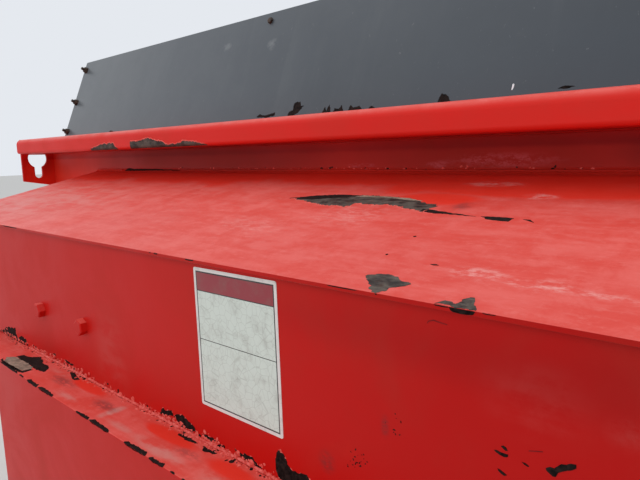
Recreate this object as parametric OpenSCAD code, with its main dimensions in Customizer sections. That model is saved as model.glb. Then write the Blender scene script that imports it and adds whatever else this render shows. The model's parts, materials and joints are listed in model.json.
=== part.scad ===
/* [Length] */
// Length of the top rails, end to end
rail_len = 3918; // [3600:2:4400]
// How far the rails run past the shoulders at each end
flare_len = 314; // [280:2:400]

/* [Upper body] */
// Width over the two upright side sheets
body_w = 2100; // [2000:2:2300]
// Horizontal width of each sloping shoulder, from its lip to the mouth wall
shoulder_w = 418; // [360:1:460]
// Rise of each shoulder from its lip to its bend
shoulder_rise = 95; // [70:1:130]
// Height of the upright side sheet
side_h = 256; // [200:1:320]
// Height of the mouth wall that shows below the rail
mouth_wall_h = 59; // [40:1:90]
// How far the shoulder's lip stands out over the side sheet
lip_out = 6; // [3:0.5:12]
// Sheet of the shoulders, sides and guards
sheet = 5; // [4:0.5:8]
// Inside radius of the shoulder's bend
bend_r = 14; // [8:1:25]

/* [Top rails] */
// Width of the rail tube, laid flat
rail_w = 116; // [90:1:140]
// Height of the rail tube
rail_h = 46; // [40:1:70]
// Wall of the rail tube
rail_wall = 5; // [3:0.5:8]
// Radius of the rail's outer top corner
rail_top_r = 17; // [10:1:22]
// Radius of the rail's other corners
rail_r = 7; // [6:0.5:10]

/* [Guard boards] */
// Slanted height of the side guard boards
guard_h = 266; // [180:1:320]
// Lean of the side guard boards, inward
guard_lean = 22; // [10:1:30]
// Foot of a guard board outside the mouth wall
guard_seat = 18; // [8:1:40]
// How far a side guard board stops short of the rail's end
guard_short = 139; // [120:1:180]
// Width of a guard board's folded flanges
guard_flange = 50; // [40:1:60]

/* [Lower body] */
// Height from the auger shafts to the ledge
hopper_h = 599; // [560:1:680]
// Sheet of the troughs, floor slopes and end walls
floor_sheet = 6; // [5:0.5:10]
// Width of the ledge on each side
ledge_w = 74; // [50:1:100]
// Height of the skirt plate under the ledge
skirt_h = 420; // [300:5:480]
// Half length of the skirt's flat part
skirt_flat = 955; // [800:5:1100]
// Length of the skirt's folded end
skirt_end = 225; // [150:5:260]
// How far the skirt's end folds inward
skirt_fold = 4; // [1:1:45]

/* [Augers] */
// Radius of the auger flights
auger_r = 250; // [230:1:260]
// Gap between flight and trough
auger_gap = 15; // [8:1:25]
// Pitch of the flights
auger_pitch = 405; // [300:5:500]
// Thickness of the flights
flight_t = 10; // [6:1:14]
// Radius of the auger tubes
tube_r = 57; // [50:1:70]
// Gap between the two troughs
trough_gap = 28; // [24:1:60]
// Throwing paddles on the left auger, beside the expeller
paddles = 3; // [2:1:5]

/* [Expeller] */
// Radius to the hammer tips
rotor_r = 235; // [215:1:240]
// Gap between hammers and housing
rotor_gap = 15; // [8:1:25]
// Gap between the rotor and the left auger
feed_gap = 32; // [15:1:60]
// Length of the rotor housing
expeller_len = 740; // [640:5:800]
// Radius of the rotor drum
drum_r = 84; // [75:1:95]
// Hammers along each row
hammers = 6; // [4:1:7]
// Rows of hammers round the drum
hammer_rows = 4; // [3:1:6]
// Height of the discharge mouth
mouth_h = 220; // [180:1:240]

/* [Shafts and bearings] */
// Radius of the auger and expeller stub shafts
stub_r = 30; // [25:1:35]
// Radius of the drive input shaft
input_r = 17.5; // [15:0.5:22.5]
// Radial clearance of a shaft in its bearing
bearing_gap = 0.05; // [0.02:0.01:0.1]
// Width of a bearing's square flange
bearing_w = 150; // [140:1:175]

/* [Sills] */
// Height of the two mounting sills
sill_h = 150; // [120:1:200]
// Width of the sill's flanges
sill_w = 76; // [60:1:90]
// Wall of the sills
sill_t = 8; // [6:0.5:12]
// Distance between the sills' webs, outside
sill_span = 864; // [800:2:940]
// Length of the sills
sill_len = 3000; // [2900:10:3200]
// Distance from a sill's end to its mounting hole
sill_hole_inset = 100; // [60:5:200]
// Radius of the mounting holes
sill_hole_r = 9; // [7:0.5:11]

/* [Hidden] */
$fn = 72;

paint_red = "#b3261e";
dark_paint = "#4d565e";
bare_steel = "#8b8378";
cast_grey = "#5a5a5c";
chrome_rod = "#c9ccd0";

// A piece that rests on a curved or sloping one lies this far off it
seat_gap = 0.3;
// Depth by which joined solids run into each other
lap = 1;

// Levels above the floor
bed_gap = 29;
trough_r = auger_r + auger_gap;
trough_out = trough_r + floor_sheet;
auger_y = trough_out + trough_gap / 2;
auger_z = sill_h + bed_gap + trough_out;
ledge_z = auger_z + hopper_h;
lip_z = ledge_z + side_h;
bend_z = lip_z + shoulder_rise;
rail_z = bend_z + mouth_wall_h;
rail_top = rail_z + rail_h;

// Half widths and half lengths
side_y = body_w / 2;
mouth_y = side_y + lip_out - shoulder_w;
rail_x = rail_len / 2;
wall_x = rail_x - flare_len;
inner_x = wall_x - floor_sheet;
shoulder_angle = atan2(shoulder_rise, shoulder_w);

// The floor slope runs from the trough, tangent to it, to the foot of the side sheet
foot_dy = side_y - sheet - auger_y;
slope_angle = atan2(hopper_h, foot_dy) + asin(trough_r / norm([foot_dy, hopper_h]));
slope_dir = [cos(slope_angle), sin(slope_angle)];
slope_out = [sin(slope_angle), -cos(slope_angle)];
slope_start = [auger_y, auger_z] + trough_r * slope_out;
slope_len = norm([foot_dy, hopper_h]) * cos(asin(trough_r / norm([foot_dy, hopper_h])));
slope_top_out = [side_y - sheet + floor_sheet / sin(slope_angle), ledge_z];
ledge_in = slope_top_out[0] + seat_gap;
far = 3000;

// The flares lean out from the ledge to the ends of the rails
flare_t = floor_sheet / cos(atan2(flare_len, rail_z - ledge_z));

// Keyhole ears under the rails' ends
ear_w = 104;
ear_t = 9;
ear_drop = 91;
ear_drop_in = 110;
key_r = 30.5;
key_inset = 53;
key_below = 16;
slot_w = 24.5;
slot_depth = 53;

// Cap over the gap between the troughs
ridge_h = 70;

// Pressed channels across the end walls
rib_h = 90;
rib_depth = 42;
rib_slant = 16;
rib_inset = 30;
rib_below = 110;

// The expeller lies outside the left slope, a feed gap away from the auger, and so low that
// its rear bearing just clears the slope
hub_r = stub_r + 30;
bearing_clear = 13.8;
rotor_reach = auger_r + rotor_r + feed_gap;
feed_angle = slope_angle - asin((trough_out + hub_r + bearing_clear) / rotor_reach);
rotor_y = auger_y + rotor_reach * cos(feed_angle);
rotor_z = auger_z + rotor_reach * sin(feed_angle);
housing_r = rotor_r + rotor_gap;
housing_out = housing_r + floor_sheet;
housing_x = inner_x - expeller_len;
rotor_to_slope = hub_r + bearing_clear;
mouth_drop = 79;
mouth_low = rotor_z - mouth_drop;
mouth_high = mouth_low + mouth_h;
duct_past = 6;
duct_y = max(rotor_y + housing_out + duct_past, side_y + 2);
frame_y = duct_y + seat_gap;

// Sliding door, drawn open
door_t = 8;
frame_t = 8;
door_lap = 15;
door_play = 1;
door_travel = mouth_h + door_lap;
keeper_w = 30;
keeper_t = 6;
keeper_grip = 22;
frame_foot = 30;
frame_head = 40;
door_past = 20;
door_x0 = housing_x - door_past;
door_x1 = inner_x + door_past;
door_y = frame_y + frame_t + door_play;

// Door cylinder, upright above the door
barrel_r = 38;
rod_r = 15;
rod_play = 0.3;
barrel_wall = 7;
eye_r = 22;
eye_w = 22;
eye_pin_r = 8;
eye_lug_t = 12;
eye_lug_gap = 4;
eye_lug_rise = 44;
eye_lug_drop = 60;
piston_t = 25;
gland_t = 30;
cap_t = 20;
end_play = 5;
strap_w = 90;
strap_h = 30;
strap_drop = 70;
strap_past = 6;
cyl_x = (door_x0 + door_x1) / 2;
barrel_off = 12;
cyl_y = max(door_y + eye_r, side_y + barrel_r + barrel_off);
door_top = mouth_high + door_lap + door_travel;
rod_eye_z = door_top + eye_r;
rod_bare = 32;
barrel_z = rod_eye_z + rod_bare;
barrel_len = gland_t + door_travel + piston_t + cap_t + 3 * end_play;
piston_z = barrel_z + gland_t + door_travel + end_play;
barrel_top = barrel_z + barrel_len;

// Drive at the front wall
input_rise = 190;
input_z = auger_z + input_rise;
guard_depth = 170;
guard_margin = 125;
guard_wall = 4;
guard_fold_r = 30;
gearbox_w = 190;
gearbox_h = 210;
gearbox_len = 140;
gearbox_corner = 25;
nose_r = 52;
nose_len = 65;
journal_r = input_r + 2.5;
journal_out = 8;
input_len = 95;
bearing_len = 52;
bearing_plate = 16;
stub_past = 18;
wall_hole_r = stub_r + 8;
// Flights and paddles run this far into the tube
weld_r = tube_r - 4;

bolster_t = 8;
bolster_inset = 295;
foot_past = 45;
BOLSTERS = [for (i = [-2:2]) i * (wall_x - bolster_inset) / 2];

function arc(center, radius, from, to, steps) =
  [for (i = [0:steps]) let (a = from + (to - from) * i / steps)
    center + radius * [cos(a), sin(a)]];

// A convex outline, listed clockwise or not, with each corner rounded to a radius
function rounded_path(points, r) =
  [for (i = [0:len(points) - 1])
    let (
      n = len(points),
      p = points[i],
      back = points[(i + n - 1) % n] - p,
      ahead = points[(i + 1) % n] - p,
      u = back / norm(back),
      v = ahead / norm(ahead),
      half = acos(u * v) / 2,
      center = p + (u + v) / norm(u + v) * r / sin(half),
      from = p + u * r / tan(half) - center,
      to = p + v * r / tan(half) - center,
      a = atan2(from[1], from[0]),
      turn = atan2(from[0] * to[1] - from[1] * to[0], from * to)
    )
    each arc(center, r, a, a + turn, 5)];

module along_x(x0, x1) {
  translate([x0, 0, 0]) rotate([90, 0, 90]) linear_extrude(x1 - x0) children();
}

module along_y(y0, y1) {
  translate([0, y1, 0]) rotate([90, 0, 0]) linear_extrude(y1 - y0) children();
}

module on_side(side) {
  if (side > 0) children();
  else mirror([0, 1, 0]) children();
}

module at_end(end) {
  if (end > 0) children();
  else mirror([1, 0, 0]) children();
}

module x_rod(r, x0, x1, y, z) {
  translate([x0, y, z]) rotate([0, 90, 0]) cylinder(r = r, h = x1 - x0);
}

// A rectangle whose corners are rounded by radii listed counter-clockwise from low left
module rounded(w, h, radii) {
  corners = [[0, 0, 1, 1], [w, 0, -1, 1], [w, h, -1, -1], [0, h, 1, -1]];
  difference() {
    square([w, h]);
    for (i = [0:3]) if (radii[i] > 0)
      translate([corners[i][0], corners[i][1]]) scale_corner(corners[i][2], corners[i][3])
        difference() {
          translate([-1, -1]) square(radii[i] + 1);
          translate([radii[i], radii[i]]) circle(radii[i]);
        }
  }
}

module scale_corner(sx, sy) {
  if (sx > 0 && sy > 0) children();
  else if (sx < 0 && sy > 0) mirror([1, 0]) children();
  else if (sx > 0) mirror([0, 1]) children();
  else rotate(180) children();
}

// Everything on the hopper's side of the left slope's outer face
module inside_slope() {
  polygon([
    slope_start + floor_sheet * slope_out - far * slope_dir,
    slope_start + floor_sheet * slope_out + far * slope_dir,
    slope_start - far * slope_out + far * slope_dir,
    slope_start - far * slope_out - far * slope_dir,
  ]);
}

// Outline of the tank's lower half, outside, on one side of the middle
module lower_tank_outline(gap) {
  translate([auger_y, auger_z]) circle(trough_out + gap);
  polygon([
    [-lap, auger_z - trough_out / 2],
    [auger_y, auger_z - trough_out / 2],
    slope_start + (floor_sheet + gap) * slope_out,
    slope_top_out + [gap / sin(slope_angle), 0],
    [-lap, ledge_z],
  ]);
}

// Round trough and tangent slope, filled in to a radius
module trough_fill(radius) {
  center = [auger_y, auger_z];
  translate(center) circle(radius);
  polygon([
    center,
    center + radius * slope_out,
    center + radius * slope_out + far * slope_dir,
    center + far * slope_dir,
  ]);
}

module trough_section() {
  center = [auger_y, auger_z];
  intersection() {
    difference() {
      trough_fill(trough_out);
      trough_fill(trough_r);
    }
    polygon([
      center,
      center - [far, 0],
      center - [far, far],
      center + far * slope_out,
      center + far * slope_out + far * slope_dir,
      center + far * slope_dir,
    ]);
    translate([0, ledge_z - far]) square(far);
  }
}

module shoulder_section() {
  lip = [side_y + lip_out, lip_z];
  turn = 270 - shoulder_angle;
  center = [mouth_y + bend_r,
    bend_z - bend_r * tan(shoulder_angle) + bend_r / cos(shoulder_angle)];
  polygon(concat(
    [lip],
    arc(center, bend_r, turn, 180, 6),
    [[mouth_y, rail_top], [mouth_y - sheet, rail_top]],
    arc(center, bend_r + sheet, 180, turn, 6),
    [lip + sheet * [cos(turn), sin(turn)]]
  ));
}

module rail_section() {
  difference() {
    rounded(rail_w, rail_h, [rail_r, rail_r, rail_top_r, rail_r]);
    translate([rail_wall, rail_wall])
      rounded(rail_w - 2 * rail_wall, rail_h - 2 * rail_wall,
        [rail_r - rail_wall, rail_r - rail_wall, rail_top_r - rail_wall, rail_r - rail_wall]);
  }
}

module sill(side) {
  color(paint_red) on_side(side) difference() {
    along_x(-sill_len / 2, sill_len / 2) translate([sill_span / 2 - sill_w, 0]) difference() {
      square([sill_w, sill_h]);
      translate([-1, sill_t]) square([sill_w - sill_t + 1, sill_h - 2 * sill_t]);
    }
    for (end = [-1, 1])
      translate([end * (sill_len / 2 - sill_hole_inset), sill_span / 2 - sill_w / 2, -1])
        cylinder(r = sill_hole_r, h = sill_t + 2);
  }
}

module sill_ties() {
  tie_w = 80;
  tie_inset = 250;
  color(paint_red) for (x = [-1, 0, 1] * (sill_len / 2 - tie_inset))
    translate([x - tie_w / 2, -sill_span / 2 + sill_t, sill_t]) difference() {
      cube([tie_w, sill_span - 2 * sill_t, sill_h - 2 * sill_t]);
      translate([sill_t, -1, sill_t])
        cube([tie_w - 2 * sill_t, sill_span, sill_h - 4 * sill_t]);
    }
}

// Half of a bolster: a plate on the sills whose arm carries the slope, out to arm_y
module bolster_half(arm_y) {
  foot_y = sill_span / 2 + foot_past;
  foot_rise = 50;
  arm_h = 170;
  difference() {
    polygon([
      [-lap, sill_h], [foot_y, sill_h], [foot_y, sill_h + foot_rise],
      [arm_y, ledge_z - arm_h], [arm_y, ledge_z - sheet], [-lap, ledge_z - sheet],
    ]);
    lower_tank_outline(seat_gap);
  }
}

// Half of a bolster that cradles the expeller's housing
module cradle_half() {
  foot_y = sill_span / 2 + foot_past;
  cradle_depth = 20;
  cradle_y = rotor_y + 70;
  difference() {
    polygon([
      [-lap, sill_h], [foot_y, sill_h], [cradle_y, rotor_z - housing_out - cradle_depth],
      [cradle_y, rotor_z], [-lap, rotor_z],
    ]);
    lower_tank_outline(seat_gap);
    translate([rotor_y, rotor_z]) circle(housing_out + seat_gap);
  }
}

module bolster(i) {
  x = BOLSTERS[i];
  under_ledge = abs(x) < skirt_flat + skirt_end;
  short = 14;
  arm_y = under_ledge ? side_y + ledge_w - short : side_y - short;
  at_expeller = x + bolster_t / 2 > housing_x - floor_sheet;
  color(paint_red) along_x(x - bolster_t / 2, x + bolster_t / 2) {
    if (at_expeller) cradle_half();
    else bolster_half(arm_y);
    mirror([1, 0]) bolster_half(arm_y);
  }
}

module trough(side) {
  color(paint_red) on_side(side) difference() {
    along_x(-inner_x, inner_x) trough_section();
    if (side > 0) x_rod(housing_r, housing_x, inner_x + 1, rotor_y, rotor_z);
  }
}

module ridge_cap() {
  half = trough_gap / 2;
  color(bare_steel) along_x(-inner_x, inner_x) translate([0, auger_z]) polygon([
    [half, 0], [half + floor_sheet, 0], [floor_sheet, ridge_h], [-floor_sheet, ridge_h],
    [-half - floor_sheet, 0], [-half, 0], [0, ridge_h - 2 * floor_sheet],
  ]);
}

// Pressed channel across the outside of an end wall, its middle at height z
module end_rib(z) {
  reach = slope_top_out[0] - (ledge_z - z + rib_h / 2) / tan(slope_angle) - rib_inset;
  along_y(-reach, reach) difference() {
    polygon([
      [wall_x - lap, z - rib_h / 2], [wall_x + rib_depth, z - rib_h / 2 + rib_slant],
      [wall_x + rib_depth, z + rib_h / 2 - rib_slant], [wall_x - lap, z + rib_h / 2],
    ]);
    polygon([
      [wall_x - 2 * lap, z - rib_h / 2 + sheet],
      [wall_x + rib_depth - sheet, z - rib_h / 2 + rib_slant + sheet],
      [wall_x + rib_depth - sheet, z + rib_h / 2 - rib_slant - sheet],
      [wall_x - 2 * lap, z + rib_h / 2 - sheet],
    ]);
  }
}

module end_wall(end) {
  rib_levels = end > 0 ? [ledge_z - rib_below] : [ledge_z - rib_below, ledge_z - 3 * rib_below];
  color(paint_red) at_end(end) {
    along_x(inner_x, wall_x) difference() {
      union() {
        for (m = [0, 1]) mirror([m, 0]) {
          lower_tank_outline(0);
          polygon([
            [mouth_y - sheet, ledge_z - lap],
            [side_y, ledge_z - lap],
            [side_y, lip_z],
            [mouth_y - sheet, bend_z],
          ]);
        }
        if (end > 0) housing_disc();
      }
      for (m = [0, 1]) mirror([m, 0]) shoulder_section();
      for (y = [-auger_y, auger_y]) translate([y, auger_z]) circle(wall_hole_r);
      if (end > 0) translate([rotor_y, rotor_z]) circle(wall_hole_r);
    }
    for (z = rib_levels) end_rib(z);
  }
}

module flare(end) {
  color(paint_red) at_end(end) along_y(-(mouth_y - sheet), mouth_y - sheet) polygon([
    [inner_x, ledge_z],
    [inner_x + flare_t, ledge_z],
    [rail_x, rail_z],
    [rail_x - flare_t, rail_z],
  ]);
}

module side_sheet(side) {
  color(paint_red) on_side(side) along_x(-inner_x, inner_x) difference() {
    translate([side_y - sheet, ledge_z]) square([sheet, side_h]);
    shoulder_section();
    translate([side_y - sheet - 1, lip_z]) square(2 * sheet);
  }
}

module shoulder(side) {
  color(paint_red) on_side(side) {
    along_x(-wall_x, wall_x) shoulder_section();
    // The mouth wall runs on past the shoulder, closes the flare's side and meets the ear
    for (end = [-1, 1]) at_end(end) along_y(mouth_y - sheet, mouth_y) polygon([
      [wall_x, ledge_z],
      [inner_x + flare_t, ledge_z],
      [rail_x, rail_z - ear_drop_in],
      [rail_x, rail_top],
      [wall_x - lap, rail_top],
      [wall_x - lap, bend_z + 2 * bend_r],
      [wall_x, bend_z + 2 * bend_r],
    ]);
  }
}

module skirt_plan(inset) {
  outer = side_y + ledge_w - inset;
  polygon([
    [-skirt_flat - skirt_end, ledge_in],
    [-skirt_flat - skirt_end, outer - skirt_fold],
    [-skirt_flat, outer],
    [skirt_flat, outer],
    [skirt_flat + skirt_end, outer - skirt_fold],
    [skirt_flat + skirt_end, ledge_in],
  ]);
}

module skirt(side) {
  turn_in = 38;
  housing_clear = 70;
  reach = side > 0 ? housing_x - housing_clear : far;
  color(paint_red) on_side(side) intersection() {
    union() {
      translate([0, 0, ledge_z - sheet]) linear_extrude(sheet) skirt_plan(0);
      translate([0, 0, ledge_z - skirt_h]) linear_extrude(skirt_h - lap) difference() {
        skirt_plan(0);
        skirt_plan(sheet);
      }
      translate([0, 0, ledge_z - skirt_h]) linear_extrude(sheet) difference() {
        skirt_plan(0);
        skirt_plan(turn_in);
      }
    }
    translate([-far, ledge_in, 0]) cube([far + reach, far, far]);
  }
}

module rail(side) {
  color(paint_red) on_side(side) along_x(-rail_x, rail_x)
    translate([mouth_y, rail_z]) rail_section();
}

module end_rail(end) {
  color(paint_red) at_end(end) along_y(-(mouth_y - sheet), mouth_y - sheet)
    translate([rail_x - rail_w, rail_z]) rail_section();
}

module cross_tie() {
  tie_r = 30;
  tie_drop = 10;
  tie_z = rail_z - tie_drop;
  color(paint_red) translate([0, -(mouth_y - sheet), tie_z]) rotate([-90, 0, 0])
    difference() {
      cylinder(r = tie_r, h = 2 * (mouth_y - sheet));
      translate([0, 0, -1]) cylinder(r = tie_r - rail_wall, h = 2 * mouth_y);
    }
}

module keyhole_ears() {
  hole_y = mouth_y + key_inset;
  hole_z = rail_z - key_below;
  color(paint_red) for (end = [-1, 1], side = [-1, 1]) at_end(end) on_side(side)
    along_x(rail_x, rail_x + ear_t) difference() {
      polygon([
        [mouth_y - sheet, rail_top],
        [mouth_y - sheet, rail_z - ear_drop_in],
        [mouth_y, rail_z - ear_drop_in],
        [mouth_y + ear_w, rail_z - ear_drop],
        [mouth_y + ear_w, rail_top],
      ]);
      translate([hole_y, hole_z]) circle(key_r);
      translate([hole_y - slot_w / 2, hole_z - slot_depth]) square([slot_w, slot_depth]);
      translate([hole_y, hole_z - slot_depth]) circle(slot_w / 2);
    }
}

module leaning_strip(inset, low, high) {
  translate([mouth_y + guard_seat, rail_top]) rotate(guard_lean)
    translate([-sheet - inset, low]) square([sheet, high - low]);
}

module side_guard(side) {
  end_x = rail_x - guard_short;
  color(dark_paint) on_side(side) along_x(-end_x, end_x) {
    intersection() {
      leaning_strip(0, -sheet, guard_h);
      translate([0, rail_top]) square(far);
    }
    translate([mouth_y + guard_seat - guard_flange, rail_top])
      square([guard_flange - sheet / 2, sheet]);
  }
}

// The end board has a flange behind each side board and a foot on the end rail
module end_guard(end) {
  plate_past = 9;
  overlap = 35;
  foot_short = 60;
  plate_x = rail_x - guard_short + plate_past;
  foot_x = rail_x - rail_w + guard_flange;
  flange_x = plate_x - guard_flange - overlap;
  low = 3 * sheet;
  top_z = rail_top + guard_h * cos(guard_lean);
  base_y = mouth_y + guard_seat - (sheet + seat_gap) / cos(guard_lean);
  foot_y = base_y - foot_short;
  lean_y = (top_z - rail_top) * tan(guard_lean);
  color(dark_paint) at_end(end) {
    along_x(plate_x, plate_x + sheet) polygon([
      [-base_y, rail_top], [base_y, rail_top],
      [base_y - lean_y, top_z], [lean_y - base_y, top_z],
    ]);
    for (side = [-1, 1]) on_side(side)
      along_x(flange_x, plate_x + lap) leaning_strip(sheet + seat_gap, low, guard_h - low);
    along_y(-foot_y, foot_y)
      translate([plate_x, rail_top]) square([foot_x - plate_x, sheet]);
  }
}

function helix_ring(i, per_turn, hand) =
  let (a = hand * 360 * i / per_turn, x = auger_pitch * i / per_turn, h = flight_t / 2)
  [for (p = [[weld_r, -h], [auger_r, -h], [auger_r, h], [weld_r, h]])
    [x + p[1], p[0] * sin(a), p[0] * cos(a)]];

module flight(length, hand) {
  per_turn = 24;
  n = floor(length / auger_pitch * per_turn);
  points = [for (i = [0:n]) each helix_ring(i, per_turn, hand)];
  quads = [for (i = [0:n - 1], k = [0:3])
    let (a = 4 * i + k, b = 4 * i + (k + 1) % 4)
    [a, b, b + 4, a + 4]];
  tris = [for (q = quads) each [[q[0], q[1], q[2]], [q[0], q[2], q[3]]]];
  ends = [[3, 2, 1, 0], [4 * n, 4 * n + 1, 4 * n + 2, 4 * n + 3]];
  flipped = [for (f = concat(tris, ends)) [for (k = [len(f) - 1:-1:0]) f[k]]];
  polyhedron(points, hand > 0 ? flipped : concat(tris, ends));
}

module auger(side) {
  gap = 6;
  flight_short = 15;
  half = inner_x - gap;
  flight_half = half - flight_short;
  stub_x = wall_x + bearing_len + stub_past;
  color(bare_steel) translate([0, side * auger_y, auger_z]) {
    x_rod(tube_r, -half, half, 0, 0);
    x_rod(stub_r, -stub_x, stub_x, 0, 0);
    translate([-flight_half, 0, 0]) flight(2 * flight_half, side);
    if (side > 0) throwing_paddles();
  }
}

// Paddles beside the expeller, each from the tube to near the flight's edge
module throwing_paddles() {
  paddle_len = 150;
  paddle_t = 12;
  tip_short = 20;
  for (i = [0:paddles - 1])
    translate([housing_x + (i + 0.5) * expeller_len / paddles, 0, 0])
      rotate([i * 360 / 3, 0, 0])
        translate([-paddle_len / 2, -paddle_t / 2, weld_r])
          cube([paddle_len, paddle_t, auger_r - tip_short - weld_r]);
}

// A bearing on a wall: its flange is the child outline, and the hub stands out
module flange_bearing(face_x, out, y, z) {
  translate([face_x, y, z]) at_end(out) difference() {
    union() {
      along_x(0, bearing_plate) children();
      x_rod(hub_r, 0, bearing_len, 0, 0);
    }
    x_rod(stub_r + bearing_gap, -1, bearing_len + 1, 0, 0);
  }
}

module square_flange() {
  corner = 22;
  translate([-bearing_w / 2, -bearing_w / 2])
    rounded(bearing_w, bearing_w, [corner, corner, corner, corner]);
}

module auger_bearings() {
  color(cast_grey) for (end = [-1, 1], side = [-1, 1])
    flange_bearing(end * wall_x, end, side * auger_y, auger_z) square_flange();
}

module expeller_bearings() {
  color(cast_grey) {
    flange_bearing(wall_x, 1, rotor_y, rotor_z) square_flange();
    // The rear one has a round flange that clears the floor slope
    flange_bearing(housing_x - floor_sheet, -1, rotor_y, rotor_z)
      circle(rotor_to_slope - 3);
  }
}

module housing_disc() {
  translate([rotor_y, rotor_z]) circle(housing_out);
  translate([rotor_y, mouth_low - floor_sheet])
    square([duct_y - rotor_y, mouth_h + 2 * floor_sheet]);
}

module housing_outline() {
  difference() {
    housing_disc();
    translate(seat_gap * slope_out) inside_slope();
  }
}

module expeller_housing() {
  color(paint_red) {
    along_x(housing_x, inner_x) difference() {
      housing_outline();
      translate([rotor_y, rotor_z]) circle(housing_r);
      translate([rotor_y, mouth_low]) square([far, mouth_h]);
    }
    along_x(housing_x - floor_sheet, housing_x) difference() {
      housing_outline();
      translate([rotor_y, rotor_z]) circle(wall_hole_r);
    }
  }
}

// A swinging hammer drawn straight out, on its pin between two lugs of the drum
module hammer() {
  lug_t = 10;
  lug_w = 60;
  lug_foot = drum_r - 8 * lap;
  hammer_t = 24;
  hammer_w = 70;
  shank_w = hammer_w / 2;
  head_h = 40;
  tip_gap = 5;
  pin_r = 11;
  pin_z = drum_r + 38;
  pin_end = hammer_t / 2 + lug_t + 8;
  for (s = [-1, 1]) translate([s * (hammer_t / 2 + 1 + lug_t / 2) - lug_t / 2, 0, 0])
    along_x(0, lug_t) {
      translate([-lug_w / 2, lug_foot]) square([lug_w, pin_z - lug_foot]);
      translate([0, pin_z]) circle(lug_w / 2);
    }
  x_rod(pin_r, -pin_end, pin_end, 0, pin_z);
  along_x(-hammer_t / 2, hammer_t / 2) {
    translate([0, pin_z]) circle(shank_w / 2 + 5);
    translate([-shank_w / 2, pin_z]) square([shank_w, rotor_r - head_h - pin_z]);
    translate([-hammer_w / 2, rotor_r - tip_gap - head_h]) square([hammer_w, head_h]);
  }
}

module expeller_rotor() {
  gap = 8;
  x0 = housing_x + gap;
  x1 = inner_x - gap;
  pitch = (x1 - x0) / hammers;
  stagger = 0.3;
  color(bare_steel) translate([0, rotor_y, rotor_z]) {
    x_rod(drum_r, x0, x1, 0, 0);
    x_rod(stub_r, housing_x - floor_sheet - bearing_len - stub_past,
      wall_x + bearing_len + stub_past, 0, 0);
    for (row = [0:hammer_rows - 1], i = [0:hammers - 1])
      translate([x0 + (i + 0.5 + (row % 2 - 0.5) * stagger) * pitch, 0, 0])
        rotate([row * 360 / hammer_rows, 0, 0]) hammer();
  }
}

module door_frame() {
  low = mouth_low - door_lap - frame_foot;
  height = door_top - low;
  keeper_y = frame_y + frame_t;
  color(paint_red) {
    difference() {
      translate([door_x0 - keeper_w, frame_y, low])
        cube([door_x1 - door_x0 + 2 * keeper_w, frame_t, height]);
      translate([housing_x, frame_y - 1, mouth_low])
        cube([expeller_len, frame_t + 2, mouth_h]);
      translate([door_x0 + keeper_w, frame_y - 1, mouth_high + frame_head])
        cube([door_x1 - door_x0 - 2 * keeper_w, frame_t + 2, far]);
    }
    // Each keeper is a spacer beside the door and a strip over the door's edge
    for (end = [0, 1]) translate([end * (door_x0 + door_x1), 0, 0]) at_end(1 - 2 * end) {
      translate([door_x0 - keeper_w, keeper_y - lap, low])
        cube([keeper_w - door_play, door_t + 2 * door_play + 2 * lap, height]);
      translate([door_x0 - keeper_w, keeper_y + door_t + 2 * door_play, low])
        cube([keeper_w + keeper_grip, keeper_t, height]);
    }
  }
}

module discharge_door() {
  low = mouth_low - door_lap + door_travel;
  rib_t = 8;
  rib_out = 28;
  rib_gap = 25;
  color(paint_red) difference() {
    union() {
      translate([door_x0 + door_play, door_y, low])
        cube([door_x1 - door_x0 - 2 * door_play, door_t, door_top - low]);
      // Two ribs stiffen the door between its keepers
      for (z = [low + rib_gap, door_top - rib_gap - rib_t])
        translate([door_x0 + keeper_w + keeper_grip, door_y + door_t - lap, z])
          cube([door_x1 - door_x0 - 2 * (keeper_w + keeper_grip), rib_out + lap, rib_t]);
      for (s = [-1, 1])
        translate([cyl_x + s * (eye_w / 2 + eye_lug_gap + eye_lug_t / 2) - eye_lug_t / 2,
          door_y + lap, door_top - eye_lug_drop])
          cube([eye_lug_t, cyl_y + eye_r - door_y - lap, eye_lug_drop + eye_lug_rise]);
    }
    x_rod(eye_pin_r + rod_play, cyl_x - strap_w / 2, cyl_x + strap_w / 2, cyl_y, rod_eye_z);
  }
}

module door_cylinder() {
  stud_r = 18;
  stud_h = 30;
  port_r = 13;
  port_out = 16;
  color(dark_paint) translate([cyl_x, cyl_y, 0]) difference() {
    union() {
      translate([0, 0, barrel_z]) cylinder(r = barrel_r, h = barrel_len);
      translate([0, 0, barrel_top - lap]) cylinder(r = stud_r, h = stud_h + lap);
      // Oil ports at the two ends of the barrel
      for (z = [barrel_z + gland_t, barrel_top - cap_t])
        x_rod(port_r, barrel_r - barrel_wall + 3, barrel_r + port_out, 0, z);
    }
    translate([0, 0, barrel_z + gland_t])
      cylinder(r = barrel_r - barrel_wall, h = barrel_len - gland_t - cap_t);
    translate([0, 0, barrel_z - 1]) cylinder(r = rod_r + rod_play, h = gland_t + 2);
  }
  color(paint_red) translate([cyl_x - strap_w / 2, side_y, barrel_top - strap_drop]) difference() {
    cube([strap_w, cyl_y - side_y + strap_past, strap_h]);
    translate([strap_w / 2, cyl_y - side_y, -1]) cylinder(r = barrel_r, h = strap_h + 2);
  }
}

module door_rod() {
  pin_half = eye_w / 2 + eye_lug_gap + eye_lug_t + 7;
  color(chrome_rod) {
    translate([cyl_x, cyl_y, rod_eye_z]) cylinder(r = rod_r, h = piston_z - rod_eye_z + lap);
    translate([cyl_x, cyl_y, piston_z])
      cylinder(r = barrel_r - barrel_wall - rod_play, h = piston_t);
    x_rod(eye_r, cyl_x - eye_w / 2, cyl_x + eye_w / 2, cyl_y, rod_eye_z);
    x_rod(eye_pin_r, cyl_x - pin_half, cyl_x + pin_half, cyl_y, rod_eye_z);
  }
}

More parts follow.
